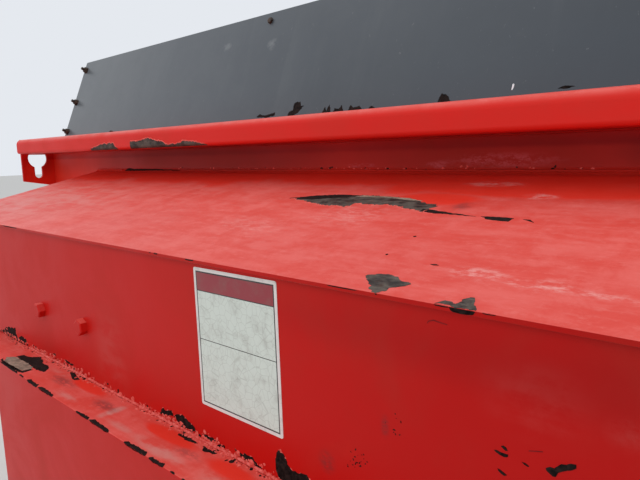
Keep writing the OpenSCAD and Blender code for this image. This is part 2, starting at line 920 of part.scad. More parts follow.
function guard_points(m) = [
  [-auger_y - m, auger_z - m], [-auger_y - m, auger_z + m],
  [-m, input_z + m], [m, input_z + m],
  [rotor_y + m, rotor_z + m], [rotor_y + m, rotor_z - m], [auger_y + m, auger_z - m],
];

// Sheet cover over the drive, folded round its edge, with a flange against the wall
module drive_guard() {
  flange = 24;
  flange_t = 5;
  nose_gap = 6;
  color(dark_paint) difference() {
    union() {
      along_x(wall_x, wall_x + guard_depth)
        polygon(rounded_path(guard_points(guard_margin), guard_fold_r));
      along_x(wall_x, wall_x + flange_t)
        polygon(rounded_path(guard_points(guard_margin + flange), guard_fold_r + flange));
    }
    along_x(wall_x - 1, wall_x + guard_depth - guard_wall)
      polygon(rounded_path(guard_points(guard_margin - guard_wall), guard_fold_r - guard_wall));
    x_rod(nose_r + nose_gap, wall_x, wall_x + guard_depth + 1, 0, input_z);
  }
}

module gearbox() {
  cover_t = 18;
  cover_out = 12;
  back_t = 40;
  nose_x = wall_x + gearbox_len + nose_len;
  color(cast_grey) difference() {
    union() {
      along_x(wall_x, wall_x + gearbox_len)
        translate([-gearbox_w / 2, input_z - gearbox_h / 2]) gearbox_face(0);
      along_x(wall_x + gearbox_len - cover_t, wall_x + gearbox_len)
        translate([-gearbox_w / 2, input_z - gearbox_h / 2]) gearbox_face(cover_out);
      x_rod(nose_r, wall_x + gearbox_len - lap, nose_x, 0, input_z);
    }
    x_rod(journal_r + bearing_gap, wall_x + back_t, nose_x + 1, 0, input_z);
  }
}

module gearbox_face(out) {
  r = gearbox_corner + out;
  translate([-out, -out]) rounded(gearbox_w + 2 * out, gearbox_h + 2 * out, [r, r, r, r]);
}

module input_shaft() {
  nose_x = wall_x + gearbox_len + nose_len;
  color(bare_steel) {
    x_rod(journal_r, wall_x + 50, nose_x + journal_out, 0, input_z);
    x_rod(input_r, nose_x + journal_out - lap, nose_x + journal_out + input_len, 0, input_z);
  }
}

sill(1);  // sill_left
sill(-1);  // sill_right
sill_ties();
bolster(0);  // bolster_1
bolster(1);  // bolster_2
bolster(2);  // bolster_3
bolster(3);  // bolster_4
bolster(4);  // bolster_5
trough(1);  // trough_left
trough(-1);  // trough_right
ridge_cap();
end_wall(1);  // end_wall_front
end_wall(-1);  // end_wall_rear
flare(1);  // flare_front
flare(-1);  // flare_rear
side_sheet(1);  // side_sheet_left
side_sheet(-1);  // side_sheet_right
shoulder(1);  // shoulder_left
shoulder(-1);  // shoulder_right
skirt(1);  // skirt_left
skirt(-1);  // skirt_right
rail(1);  // rail_left
rail(-1);  // rail_right
end_rail(1);  // rail_front
end_rail(-1);  // rail_rear
cross_tie();
keyhole_ears();
side_guard(1);  // guard_left
side_guard(-1);  // guard_right
end_guard(1);  // guard_front
end_guard(-1);  // guard_rear
auger(1);  // auger_left
auger(-1);  // auger_right
auger_bearings();
expeller_housing();
expeller_rotor();
expeller_bearings();
door_frame();
discharge_door();
door_cylinder();
door_rod();
drive_guard();
gearbox();
input_shaft();
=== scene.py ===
"""The hopper's looks: worn paint, bare steel, bolts, welds, chips and a blank sign."""

import json
import math
import random

import bmesh
import bpy
from mathutils import Matrix, Vector, noise


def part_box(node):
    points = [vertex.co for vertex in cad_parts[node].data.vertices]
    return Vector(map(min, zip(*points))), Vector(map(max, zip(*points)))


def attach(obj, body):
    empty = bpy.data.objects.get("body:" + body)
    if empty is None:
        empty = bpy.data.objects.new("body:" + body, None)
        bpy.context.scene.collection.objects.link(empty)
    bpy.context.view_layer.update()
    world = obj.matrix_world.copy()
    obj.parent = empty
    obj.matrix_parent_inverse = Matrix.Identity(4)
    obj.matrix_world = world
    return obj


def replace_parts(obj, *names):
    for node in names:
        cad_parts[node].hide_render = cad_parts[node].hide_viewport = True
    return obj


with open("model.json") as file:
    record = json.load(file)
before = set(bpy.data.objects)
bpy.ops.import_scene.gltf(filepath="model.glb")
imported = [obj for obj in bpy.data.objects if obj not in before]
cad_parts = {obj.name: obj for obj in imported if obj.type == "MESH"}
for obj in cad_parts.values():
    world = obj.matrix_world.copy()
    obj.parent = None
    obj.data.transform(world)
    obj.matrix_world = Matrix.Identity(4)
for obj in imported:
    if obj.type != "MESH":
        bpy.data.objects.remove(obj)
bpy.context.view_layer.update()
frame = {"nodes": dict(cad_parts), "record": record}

# Places and sizes on the frame, in metres, as the CAD has them
SIDE_Y = 1.050
LIP_Y = 1.056
LIP_Z = 1.305
MOUTH_Y = 0.638
BEND_Z = 1.400
RAIL_Z = 1.459
RAIL_TOP = 1.505
RAIL_Y = 0.754
RAIL_X = 1.959
RAIL_LOW_R = 0.007
WALL_X = 1.645
INNER_X = 1.639
LEDGE_Z = 1.049
LEDGE_Y = 1.124
SKIRT_FLAT = 0.955
SKIRT_END = 1.180
SKIRT_FOLD = 0.004
GUARD_Y = 0.656
GUARD_LEAN = math.radians(22)
AUGER_Y = 0.285
AUGER_Z = 0.450
AUGER_R = 0.250
TUBE_R = 0.057
WELD_R = TUBE_R - 0.004
STUB_R = 0.030
PITCH = 0.405
INPUT_Z = 0.640
INPUT_TIP = 1.953
HOUSING_X = 0.899
EXPELLER_LEN = 0.740
BEARING_T = 0.016
BEARING_LEN = 0.052
HUB_R = 0.060
PORT_X = 1.323
PORT_Y = 1.100
BARREL_TOP = 1.330
SHOULDER_TILT = math.atan2(BEND_Z - LIP_Z, LIP_Y - MOUTH_Y)

# Ways on the frame
ALONG = Vector((1, 0, 0))
INWARD = Vector((0, 1, 0))
RISE = Vector((0, 0, 1))
SHOULDER_RISE = Vector((0, math.cos(SHOULDER_TILT), math.sin(SHOULDER_TILT)))
GUARD_RISE = Vector((0, math.sin(GUARD_LEAN), math.cos(GUARD_LEAN)))

# Where the paint has cracked open along the wall's foot, from and to
CRACK_X = (-1.485, -1.190)
# How far lost paint lies under and over its sheet, and the steps of its edge
SUNK, PROUD = -0.0004, 0.0003
CHIP_STEP = 0.0016
# How far a corner is usually eased
EASE = 0.0012

# The photograph's camera: its place, its lens, and its turn, tip and roll in degrees
CAMERA_AT = (0.0456, -1.4728, 1.4376)
CAMERA_LENS = 31.72
CAMERA_TURN, CAMERA_TIP, CAMERA_ROLL = 42.56, 8.80, -1.52

rotor_low, rotor_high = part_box("expeller_rotor")
ROTOR_Y = (rotor_low.y + rotor_high.y) / 2
ROTOR_Z = (rotor_low.z + rotor_high.z) / 2


def place_camera():
    """The photograph's place and angle: turned left, tipped down and slightly rolled."""
    data = bpy.data.cameras.new("camera")
    data.sensor_width = 36
    data.lens = CAMERA_LENS
    data.clip_start = 0.02
    cam = bpy.data.objects.new("camera", data)
    bpy.context.scene.collection.objects.link(cam)
    turn = (
        Matrix.Rotation(math.radians(CAMERA_TURN), 4, "Z")
        @ Matrix.Rotation(math.radians(90 - CAMERA_TIP), 4, "X")
        @ Matrix.Rotation(math.radians(CAMERA_ROLL), 4, "Z")
    )
    cam.matrix_world = Matrix.Translation(CAMERA_AT) @ turn
    bpy.context.scene.camera = cam


# Node trees
class Tree:
    """Short calls for building a node tree; a socket given as a value is linked.

    An input is given by its name, or as in_0, in_1 and so on where several share a name.
    """

    def __init__(self, tree):
        self.tree = tree

    def add(self, kind, out=0, settings=None, **inputs):
        """A new node with its settings and inputs; gives its output of that number."""
        node = self.tree.nodes.new(kind)
        for key, value in (settings or {}).items():
            setattr(node, key, value)
        for key, value in inputs.items():
            self.put(node, key.replace("_", " "), value)
        return node.outputs[out]

    def put(self, node, key, value):
        """Sets or links one input."""
        socket = node.inputs[int(key[3:])] if key.startswith("in ") else node.inputs[key]
        if isinstance(value, bpy.types.NodeSocket):
            self.tree.links.new(value, socket)
        else:
            socket.default_value = value

    def math(self, operation, a, b=0.0):
        return self.add("ShaderNodeMath", settings={"operation": operation}, in_0=a, in_1=b)

    def plus(self, a, b):
        return self.math("ADD", a, b)

    def times(self, a, b):
        return self.math("MULTIPLY", a, b)

    def part(self, vector, axis):
        """The x, y or z of a vector, by its number."""
        return self.add("ShaderNodeSeparateXYZ", out=axis, Vector=vector)

    def ramp(self, value, low, high, out_low=0.0, out_high=1.0):
        """Value brought smoothly from low..high to out_low..out_high."""
        settings = {"interpolation_type": "SMOOTHSTEP"}
        return self.add(
            "ShaderNodeMapRange", settings=settings,
            in_0=value, in_1=low, in_2=high, in_3=out_low, in_4=out_high,
        )

    def mix(self, factor, a, b):
        """Colour a where the factor is 0 and b where it is 1."""
        settings = {"data_type": "RGBA"}
        return self.add("ShaderNodeMix", out=2, settings=settings, in_0=factor, in_6=a, in_7=b)

    def noise(self, place, scale, detail=3.0, rough=0.55, stretch=None, warp=0.0):
        """Uneven grey from 0 to 1, drawn out along an axis whose stretch is below 1."""
        if stretch:
            place = self.add("ShaderNodeMapping", Vector=place, Scale=stretch)
        return self.add(
            "ShaderNodeTexNoise",
            Vector=place, Scale=scale, Detail=detail, Roughness=rough, Distortion=warp,
        )


def rgb(red, green, blue):
    """A colour as it is seen on a screen, 0 to 255, brought to the shader's scale."""
    def linear(c):
        c /= 255
        return c / 12.92 if c <= 0.04045 else ((c + 0.055) / 1.055) ** 2.4
    return (linear(red), linear(green), linear(blue), 1.0)


def finish_of(name):
    """A new material, its short-call tree, its shader node and its place on the piece."""
    mat = bpy.data.materials.new(name)
    mat.use_nodes = True
    tree = Tree(mat.node_tree)
    shader = mat.node_tree.nodes["Principled BSDF"]
    place = tree.add("ShaderNodeTexCoord", out=3)
    return mat, tree, shader, place


def coat(tree, shader, colour, rough, normal=None, gloss=0.5, metal=0.0):
    """Gives the shader its colour and surface; gloss is its specular level."""
    tree.put(shader, "Base Color", colour)
    tree.put(shader, "Roughness", rough)
    tree.put(shader, "Metallic", metal)
    shader.inputs["Specular IOR Level"].default_value = gloss
    if normal is not None:
        tree.put(shader, "Normal", normal)


def bump(tree, height, distance, strength=1.0, under=None):
    """A bump of that height in metres, over another one where there is one."""
    inputs = {"Height": height, "Distance": distance, "Strength": strength}
    if under is not None:
        inputs["Normal"] = under
    return tree.add("ShaderNodeBump", **inputs)


def spots(tree, place, marks):
    """Soft ellipsoids, 1 at the centre and 0 at the edge: the strongest at each point."""
    total = 0.0
    for centre, size, strength in marks:
        at = tree.add(
            "ShaderNodeMapping",
            settings={"vector_type": "TEXTURE"}, Vector=place, Location=centre, Scale=size,
        )
        far = tree.add("ShaderNodeVectorMath", out=1, settings={"operation": "LENGTH"}, in_0=at)
        one = tree.ramp(far, 1.0, 0.2, 0.0, strength)
        total = one if isinstance(total, float) else tree.math("MAXIMUM", total, one)
    return total


# Marks on the photographed side, each with its centre, half sizes and strength
# Pale scuffs
SCUFFS = [
    ((-0.340, -MOUTH_Y, 1.419), (0.120, 0.03, 0.015), 0.9),
    ((-0.610, -MOUTH_Y, 1.412), (0.050, 0.03, 0.006), 0.8),
    ((-0.450, -MOUTH_Y, 1.413), (0.035, 0.03, 0.009), 0.9),
    ((-0.198, -0.988, 1.320), (0.042, 0.020, 0.03), 1.0),
    ((-0.150, -0.996, 1.319), (0.030, 0.012, 0.03), 0.8),
    ((-0.127, -0.994, 1.319), (0.026, 0.018, 0.03), 1.0),
    ((-0.085, -0.998, 1.318), (0.040, 0.010, 0.03), 0.9),
    ((-0.320, -0.699, 1.386), (0.060, 0.018, 0.03), 1.0),
    ((-0.232, -0.750, 1.374), (0.032, 0.016, 0.03), 1.0),
    ((-0.460, -0.860, 1.350), (0.090, 0.060, 0.05), 0.45),
    ((-0.600, -0.930, 1.334), (0.110, 0.050, 0.05), 0.35),
]
# Smears of pale film on the ledge and veils on the side sheet; at the far end of the shoulder and
# on the rail's far end, pale veils of painted sky reflection
SMEARS_AND_REFLECTIONS = [
    ((-0.755, -1.088, LEDGE_Z), (0.014, 0.032, 0.02), 1.0),
    ((-0.700, -1.104, LEDGE_Z), (0.050, 0.010, 0.02), 0.6),
    ((-0.870, -1.108, LEDGE_Z), (0.060, 0.010, 0.02), 0.5),
    ((-0.970, -1.070, LEDGE_Z), (0.060, 0.010, 0.02), 0.5),
    ((-0.600, -1.105, LEDGE_Z), (0.090, 0.018, 0.02), 0.7),
    ((-0.430, -1.100, LEDGE_Z), (0.100, 0.026, 0.02), 0.7),
    ((-0.820, -SIDE_Y, 1.110), (0.070, 0.02, 0.110), 0.12),
    ((-0.118, -SIDE_Y, 1.239), (0.060, 0.02, 0.045), 0.07),
    ((-0.050, -SIDE_Y, 1.232), (0.022, 0.02, 0.018), 0.10),
    # Painted sky reflection at the far end of the shoulder and of the rail
    ((-1.450, -0.900, 1.340), (0.500, 0.25, 0.08), 0.45),
    ((-1.550, -0.720, RAIL_TOP), (0.600, 0.06, 0.02), 0.45),
]
# Places where the red is still fresh and strong; on the shoulder by the wall's foot this is partly
# painted light
FRESH_AND_LIT = [
    ((-0.24, -0.725, 1.380), (0.34, 0.060, 0.04), 1.0),
    ((-0.37, -0.775, 1.370), (0.12, 0.050, 0.04), 0.9),
    ((-0.88, -1.066, LEDGE_Z), (0.10, 0.020, 0.02), 1.0),
    ((-0.62, -1.072, LEDGE_Z), (0.10, 0.022, 0.02), 1.0),
    ((-0.48, -1.075, LEDGE_Z), (0.08, 0.026, 0.02), 0.9),
    ((-0.645, -1.077, LEDGE_Z), (0.045, 0.012, 0.02), 1.0),
    ((-0.316, -SIDE_Y, 1.127), (0.05, 0.02, 0.03), 0.35),
]
# Painted shade, dark and bluish: on the wall under the rail, the keyhole's ear and under the
# shoulder's lip
PAINTED_SHADE = [
    ((-1.10, -MOUTH_Y, 1.43), (0.90, 0.03, 0.07), 0.60),
    ((-0.30, -MOUTH_Y, 1.43), (0.80, 0.03, 0.07), 0.50),
    ((0.12, -MOUTH_Y, 1.43), (0.52, 0.03, 0.07), 0.95),
    ((-1.85, -0.670, 1.43), (0.25, 0.05, 0.07), 0.50),
    ((0.10, -SIDE_Y, 1.262), (0.90, 0.012, 0.045), 0.18),
]
# Pale film on the dark guard
FILM = [
    ((-1.061, -0.580, 1.692), (0.036, 0.03, 0.020), 0.75),
    ((-0.894, -0.588, 1.673), (0.034, 0.03, 0.026), 0.75),
    ((-0.734, -0.593, 1.662), (0.018, 0.03, 0.012), 0.60),
]
# Grey smudges on the side sheet, brown ones on the ledge and one on the shoulder
SMUDGES = [
    ((-0.315, -0.800, 1.363), (0.020, 0.024, 0.012), 0.8),
    ((-0.341, -SIDE_Y, 1.103), (0.016, 0.02, 0.018), 0.8),
    ((-0.2625, -SIDE_Y, 1.170), (0.007, 0.02, 0.016), 0.8),
    ((-0.940, -1.084, LEDGE_Z), (0.060, 0.016, 0.02), 0.9),
    ((-0.785, -1.084, LEDGE_Z), (0.045, 0.016, 0.02), 0.9),
    ((-0.560, -1.085, LEDGE_Z), (0.040, 0.012, 0.02), 0.6),
]


def chipped_red_paint():
    """Red paint, chalky and with a painted sky reflection on top, dusty low down, painted shade
    under the rail.
    """
    mat, t, shader, place = finish_of("chipped_red_paint")
    up = t.part(t.add("ShaderNodeTexCoord", out=1), 2)
    along = t.part(place, 0)
    height = t.part(place, 2)
    aside = t.math("ABSOLUTE", t.part(place, 1))
    cloud = t.noise(place, 2.3, 6.0, 0.6)
    patch = t.noise(place, 20.0, 6.0, 0.70, warp=0.4)
    streak = t.noise(place, 55.0, 4.0, 0.65, stretch=(0.16, 1.0, 1.0))
    blotch = t.noise(place, 7.0, 4.0, 0.6, warp=0.5)
    dab = t.noise(place, 120.0, 5.0, 0.8, stretch=(0.45, 1.0, 1.0))
    grain = t.noise(place, 160.0, 3.0, 0.7)
    # Plain red: brighter towards the rear, and brighter still on the rails
    far = t.ramp(along, 0.05, -0.55)
    plain = t.mix(far, rgb(181, 9, 7), rgb(199, 17, 11))
    plain = t.mix(t.ramp(cloud, 0.35, 0.65, 0.0, 0.35), plain, rgb(196, 22, 16))
    plain = t.mix(t.ramp(height, 1.44, 1.46), plain, rgb(220, 38, 30))
    # Chalky and paler where it faces the sky: partly real fading, partly a painted sky reflection
    uneven = t.plus(t.times(patch, 0.6), t.times(streak, 0.4))
    pale = t.mix(t.ramp(uneven, 0.40, 0.62), rgb(217, 78, 68), rgb(225, 102, 94))
    pale = t.mix(t.times(t.ramp(dab, 0.50, 0.70), 0.35), pale, rgb(232, 132, 124))
    sky = t.ramp(up, 0.25, 0.93)
    chalk_and_sky_sheen = t.times(sky, t.ramp(cloud, 0.3, 0.7, 0.82, 0.97))
    # Fresh in a few spots, and strong red along the foot of the wall: partly fresh paint, partly
    # painted light that lifts the rail's shadow there
    band = t.plus(aside, t.times(blotch, 0.16))
    band = t.times(t.ramp(band, 0.87, 0.76), t.ramp(height, 1.45, 1.43))
    fresh_and_lit = t.math("MAXIMUM", spots(t, place, FRESH_AND_LIT), t.times(band, 0.9))
    fresh_and_lit = t.ramp(t.plus(fresh_and_lit, t.times(uneven, 0.7)), 0.62, 1.15)
    colour = t.mix(chalk_and_sky_sheen, plain, pale)
    colour = t.mix(t.times(fresh_and_lit, 0.85), colour, rgb(228, 48, 30))
    # Scuffs, smears with some painted sky reflection, painted shade and smudges
    scuff = t.times(spots(t, place, SCUFFS), t.ramp(dab, 0.42, 0.62))
    # Scuffs are paler where they look up: partly fading, partly painted sky reflection
    faded_and_sky_lit_scuff = t.mix(t.ramp(up, 0.3, 0.8), rgb(186, 84, 90), rgb(228, 156, 150))
    colour = t.mix(t.times(scuff, 0.75), colour, faded_and_sky_lit_scuff)
    smear_and_reflection = t.times(spots(t, place, SMEARS_AND_REFLECTIONS), t.ramp(uneven, 0.38, 0.58))
    colour = t.mix(t.times(smear_and_reflection, 0.75), colour, rgb(196, 150, 142))
    # Painted shade under the rail, at the keyhole's ear and under the lip; scuffs inside it stay a
    # little paler
    grime_and_shade = t.times(spots(t, place, PAINTED_SHADE), t.ramp(blotch, 0.2, 0.6, 0.85, 1.0))
    shaded_tone = t.mix(t.times(scuff, 1.3), rgb(72, 2, 9), rgb(176, 84, 90))
    colour = t.mix(grime_and_shade, colour, shaded_tone)
    smudge = t.times(spots(t, place, SMUDGES), t.ramp(dab, 0.36, 0.56))
    colour = t.mix(t.times(smudge, 0.65), colour, rgb(104, 46, 48))
    # Dust and dried dirt, more of it lower down
    low = t.times(t.ramp(height, 1.05, 0.35, 0.10, 0.62), t.ramp(blotch, 0.40, 0.72))
    side = t.math("SUBTRACT", 1.0, sky)
    colour = t.mix(t.times(low, side), colour, rgb(128, 84, 66))
    rough = t.plus(t.ramp(blotch, 0.3, 0.7, 0.38, 0.52), t.times(scuff, 0.2))
    waves = bump(t, t.noise(place, 4.0, 2.0, 0.4), 0.002, 0.3)
    coat(t, shader, colour, rough, bump(t, grain, 0.0004, 0.35, under=waves), gloss=0.15)
    return mat


# Plain worn finishes: dark and light colour, the grain's scale, roughness from and to, metal,
# depth of the bump, gloss
PLAIN_FINISHES = {
    "cast_iron": ((50, 50, 52), (92, 88, 84), 130.0, (0.45, 0.65), 0.3, 0.0008, 0.5),
    "dull_zinc": ((104, 92, 78), (158, 156, 150), 70.0, (0.35, 0.6), 0.7, 0.0006, 0.5),
    "black_bolt": ((30, 27, 26), (84, 64, 50), 120.0, (0.5, 0.7), 0.3, 0.0006, 0.5),
    # Near-black chips, and also the painted shadows under lifted paint
    "black_scale_and_shadow": ((14, 10, 10), (46, 36, 33), 170.0, (0.7, 0.9), 0.0, 0.0009, 0.08),
    "tan_primer": ((104, 94, 78), (160, 140, 122), 110.0, (0.55, 0.8), 0.0, 0.0006, 0.5),
    # Broken paint edges: pale, partly as a painted highlight where they catch light
    "paint_edge": ((206, 70, 58), (232, 120, 108), 260.0, (0.5, 0.7), 0.0, 0.0005, 0.22),
    "crumbly_seam": ((196, 44, 34), (234, 112, 104), 150.0, (0.5, 0.7), 0.0, 0.0006, 0.2),
    "coral_crumb": ((212, 62, 52), (232, 112, 102), 200.0, (0.5, 0.7), 0.0, 0.0003, 0.22),
    "scratched_red": ((116, 12, 16), (136, 24, 26), 200.0, (0.5, 0.6), 0.0, 0.0001, 0.2),
    "pale_fleck": ((206, 210, 214), (232, 234, 236), 200.0, (0.5, 0.6), 0.0, 0.0001, 0.3),
}


def grained(name, dark, light, scale, rough, metal, lift, gloss):
    """A plain worn finish: two colours mixed by an uneven grain, with its own bump."""
    mat, t, shader, place = finish_of(name)
    grain = t.noise(place, scale, 5.0, 0.68)
    colour = t.mix(t.ramp(grain, 0.34, 0.66), rgb(*dark), rgb(*light))
    normal = bump(t, grain, lift, 0.7)
    coat(t, shader, colour, t.ramp(grain, 0.3, 0.7, *rough), normal, gloss, metal)
    return mat


def rubbed_and_lit_edge(name, paint, light, steel):
    """Paint along a sheet's corner: thinner and paler from wear, paler still as a painted
    highlight, with specks worn through to the steel.
    """
    mat, t, shader, place = finish_of(name)
    patch = t.noise(place, 34.0, 6.0, 0.7)
    grain = t.noise(place, 260.0, 3.0, 0.6)
    through = t.ramp(t.plus(patch, t.times(grain, 0.25)), 0.70, 0.75)
    colour = t.mix(t.ramp(grain, 0.4, 0.6), rgb(*paint), rgb(*light))
    colour = t.mix(through, colour, rgb(*steel))
    rough = t.ramp(through, 0.0, 1.0, 0.42, 0.65)
    coat(t, shader, colour, rough, bump(t, grain, 0.0003, 0.5), gloss=0.22)
    return mat


def bare_plate():
    """Steel and old primer under lost paint: brown-grey, streaked and rusty in places."""
    mat, t, shader, place = finish_of("bare_plate")
    patch = t.noise(place, 42.0, 6.0, 0.66)
    brush = t.noise(place, 240.0, 4.0, 0.65, stretch=(0.22, 1.0, 1.0))
    rust = t.ramp(t.noise(place, 75.0, 5.0, 0.7), 0.52, 0.68)
    colour = t.mix(t.ramp(patch, 0.38, 0.62), rgb(42, 37, 35), rgb(90, 82, 75))
    colour = t.mix(t.times(t.ramp(brush, 0.45, 0.7), 0.4), colour, rgb(120, 110, 100))
    colour = t.mix(t.times(rust, 0.6), colour, rgb(64, 38, 28))
    normal = bump(t, t.plus(brush, patch), 0.0006, 0.7)
    coat(t, shader, colour, t.ramp(patch, 0.3, 0.7, 0.5, 0.75), normal, gloss=0.15)
    return mat


def scratched_dark_paint():
    """Satin blue-black paint with pale rubs and a few scratches; paler towards the rear as a
    painted sky reflection, greenish along its top edge, partly as a painted highlight.
    """
    mat, t, shader, place = finish_of("scratched_dark_paint")
    up = t.part(t.add("ShaderNodeTexCoord", out=1), 2)
    cloud = t.noise(place, 1.6, 5.0, 0.6)
    drip = t.noise(place, 16.0, 5.0, 0.6, stretch=(1.0, 0.25, 0.10))
    scratch = t.noise(place, 210.0, 2.0, 0.4, stretch=(0.9, 1.0, 0.05), warp=1.5)
    rub = t.noise(place, 8.0, 8.0, 0.75)
    colour = t.mix(t.ramp(cloud, 0.3, 0.7), rgb(32, 42, 52), rgb(42, 52, 63))
    colour = t.mix(t.times(t.ramp(drip, 0.52, 0.80), 0.14), colour, rgb(104, 110, 112))
    colour = t.mix(t.times(t.ramp(rub, 0.62, 0.80), 0.25), colour, rgb(92, 92, 90))
    colour = t.mix(t.times(t.ramp(scratch, 0.72, 0.80), 0.30), colour, rgb(140, 143, 142))
    # Paler towards the rear as a painted sky reflection, joined with spots of real pale film
    along = t.part(place, 0)
    reflection_and_film = t.times(t.ramp(along, 0.4, -2.6, 0.0, 0.72), t.ramp(rub, 0.3, 0.7, 0.8, 1.0))
    spot = t.times(spots(t, place, FILM), t.ramp(rub, 0.4, 0.6))
    reflection_and_film = t.math("MAXIMUM", reflection_and_film, spot)
    colour = t.mix(reflection_and_film, colour, rgb(122, 126, 128))
    # Greenish where it looks up, along the top edge: partly edge wear, partly a painted highlight
    colour = t.mix(t.times(t.ramp(up, 0.93, 0.98), 0.7), colour, rgb(104, 116, 98))
    waves = bump(t, t.noise(place, 3.0, 2.0, 0.4), 0.002, 0.2)
    normal = bump(t, t.noise(place, 150.0, 4.0), 0.0002, 0.3, under=waves)
    coat(t, shader, colour, t.ramp(cloud, 0.3, 0.7, 0.27, 0.36), normal)
    return mat


def scoured_sheet():
    """The load's side of the sheets: scoured steel and rust low down, remains of red above."""
    mat, t, shader, place = finish_of("scoured_sheet")
    height = t.part(place, 2)
    patch = t.noise(place, 5.0, 8.0, 0.68)
    grain = t.noise(place, 70.0, 5.0, 0.65, stretch=(0.2, 1.0, 1.0))
    rust = t.ramp(t.noise(place, 9.0, 8.0, 0.7), 0.44, 0.62)
    steel = t.mix(t.ramp(grain, 0.35, 0.65), rgb(96, 92, 88), rgb(150, 144, 136))
    colour = t.mix(t.times(rust, 0.85), steel, rgb(98, 62, 42))
    kept = t.plus(height, t.times(t.math("SUBTRACT", patch, 0.5), 2.0))
    kept = t.ramp(kept, 1.20, 1.30)
    colour = t.mix(kept, colour, t.mix(t.ramp(grain, 0.4, 0.6), rgb(150, 30, 24), rgb(176, 58, 48)))
    metal = t.times(t.ramp(rust, 0.0, 1.0, 0.7, 0.1), t.math("SUBTRACT", 1.0, kept))
    normal = bump(t, t.plus(grain, patch), 0.0012, 0.5)
    coat(t, shader, colour, t.ramp(rust, 0.0, 1.0, 0.42, 0.75), normal, metal=metal)
    return mat


def auger_steel():
    """Steel of the turning parts: bright where the load rubs, brown where it doesn't."""
    mat, t, shader, place = finish_of("auger_steel")
    rubbed = t.add("ShaderNodeAttribute", out=2, settings={"attribute_name": "rubbed"})
    patch = t.noise(place, 14.0, 7.0, 0.68)
    grain = t.noise(place, 90.0, 4.0, 0.6)
    bright = t.ramp(t.plus(rubbed, t.times(patch, 0.8)), 0.55, 1.05)
    rusty = t.mix(t.ramp(patch, 0.35, 0.65), rgb(84, 56, 40), rgb(124, 92, 66))
    steel = t.mix(t.ramp(grain, 0.35, 0.65), rgb(140, 134, 126), rgb(184, 178, 170))
    rough = t.ramp(bright, 0.0, 1.0, 0.75, 0.32)
    metal = t.ramp(bright, 0.0, 1.0, 0.15, 0.9)
    normal = bump(t, t.plus(grain, patch), 0.0012, 0.5)
    coat(t, shader, t.mix(bright, rusty, steel), rough, normal, metal=metal)
    return mat


def chrome_plate():
    """Hard chrome with a light film of oil and fine wear lines."""
    mat, t, shader, place = finish_of("chrome_plate")
    lines = t.noise(place, 220.0, 3.0, 0.5, stretch=(1.0, 1.0, 0.06))
    colour = t.mix(lines, rgb(196, 199, 203), rgb(226, 228, 230))
    coat(t, shader, colour, t.ramp(lines, 0.3, 0.7, 0.10, 0.24), metal=1.0)
    return mat


# The sign's width and height, its band and the margins of its frame
SIGN_W, SIGN_H = 0.1585, 0.1897
SIGN_BAND = 0.030
SIGN_MARGINS = (0.0045, 0.0062)


def blank_sign_face():
    """A blank sign: white edge, thin black frame, dull red band and an empty crazed field."""
    mat, t, shader, place = finish_of("blank_sign_face")
    flat = t.add("ShaderNodeUVMap")
    across = t.part(flat, 0)
    rise = t.part(flat, 1)

    def inside(margin):
        """1 inside a margin, in metres, from the sign's edge."""
        x = t.math("SUBTRACT", SIGN_W / 2 - margin, t.math("ABSOLUTE", across))
        z = t.math("SUBTRACT", SIGN_H / 2 - margin, t.math("ABSOLUTE", rise))
        return t.math("GREATER_THAN", t.math("MINIMUM", x, z), 0.0)

    def line(level, half):
        """1 along a level line, that far to each side of it."""
        return t.math("LESS_THAN", t.math("ABSOLUTE", t.math("SUBTRACT", rise, level)), half)

    craze = t.add(
        "ShaderNodeTexVoronoi", settings={"feature": "DISTANCE_TO_EDGE"}, Vector=place, Scale=95.0
    )
    crack = t.ramp(craze, 0.0, 0.05, 0.30, 0.0)
    grime_and_shade = t.times(t.ramp(t.noise(place, 40.0, 6.0, 0.7), 0.45, 0.75), 0.35)
    band = t.math("GREATER_THAN", rise, SIGN_H / 2 - SIGN_BAND)
    field = t.mix(crack, rgb(214, 221, 212), rgb(140, 140, 128))
    field = t.mix(band, field, rgb(150, 50, 60))
    under_band = line(SIGN_H / 2 - SIGN_BAND - 0.0005, 0.0006)
    lines = t.math("MAXIMUM", under_band, line(-0.0015, 0.0005))
    field = t.mix(lines, field, rgb(46, 44, 46))
    colour = t.mix(inside(SIGN_MARGINS[0]), rgb(228, 220, 216), rgb(40, 38, 42))
    colour = t.mix(inside(SIGN_MARGINS[1]), colour, field)
    colour = t.mix(grime_and_shade, colour, rgb(132, 122, 112))
    coat(t, shader, colour, t.ramp(grime_and_shade, 0.0, 0.2, 0.35, 0.55), bump(t, craze, 0.0001, 0.3))
    return mat


# Meshes
def new_piece(name, mesh, body, slot, *finishes):
    """A finished piece at the origin, riding on a body."""
    obj = bpy.data.objects.new(name, mesh)
    bpy.context.scene.collection.objects.link(obj)
    kept = [face.material_index for face in mesh.polygons]
    mesh.materials.clear()
    for mat in finishes:
        mesh.materials.append(mat)
    mesh.polygons.foreach_set("material_index", kept)
    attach(obj, body)
    return obj


def baked(obj):
    """The mesh of obj with its modifiers applied, and obj itself taken away."""
    graph = bpy.context.evaluated_depsgraph_get()
    mesh = bpy.data.meshes.new_from_object(obj.evaluated_get(graph), depsgraph=graph)
    old = obj.data
    bpy.data.objects.remove(obj)
    if old.users == 0:
        bpy.data.meshes.remove(old)
    return mesh


def eased(mesh, width, edge_finish=-1, corner=40):
    """A mesh with its corners eased by a real radius, which may have a finish of its own."""
    for face in mesh.polygons:
        face.use_smooth = True
    obj = bpy.data.objects.new("easing", mesh)
    bpy.context.scene.collection.objects.link(obj)
    bevel = obj.modifiers.new("bevel", "BEVEL")
    bevel.width = width
    bevel.segments = 2
    bevel.limit_method = "ANGLE"
    bevel.angle_limit = math.radians(corner)
    bevel.use_clamp_overlap = True
    bevel.material = edge_finish
    return level(baked(obj))


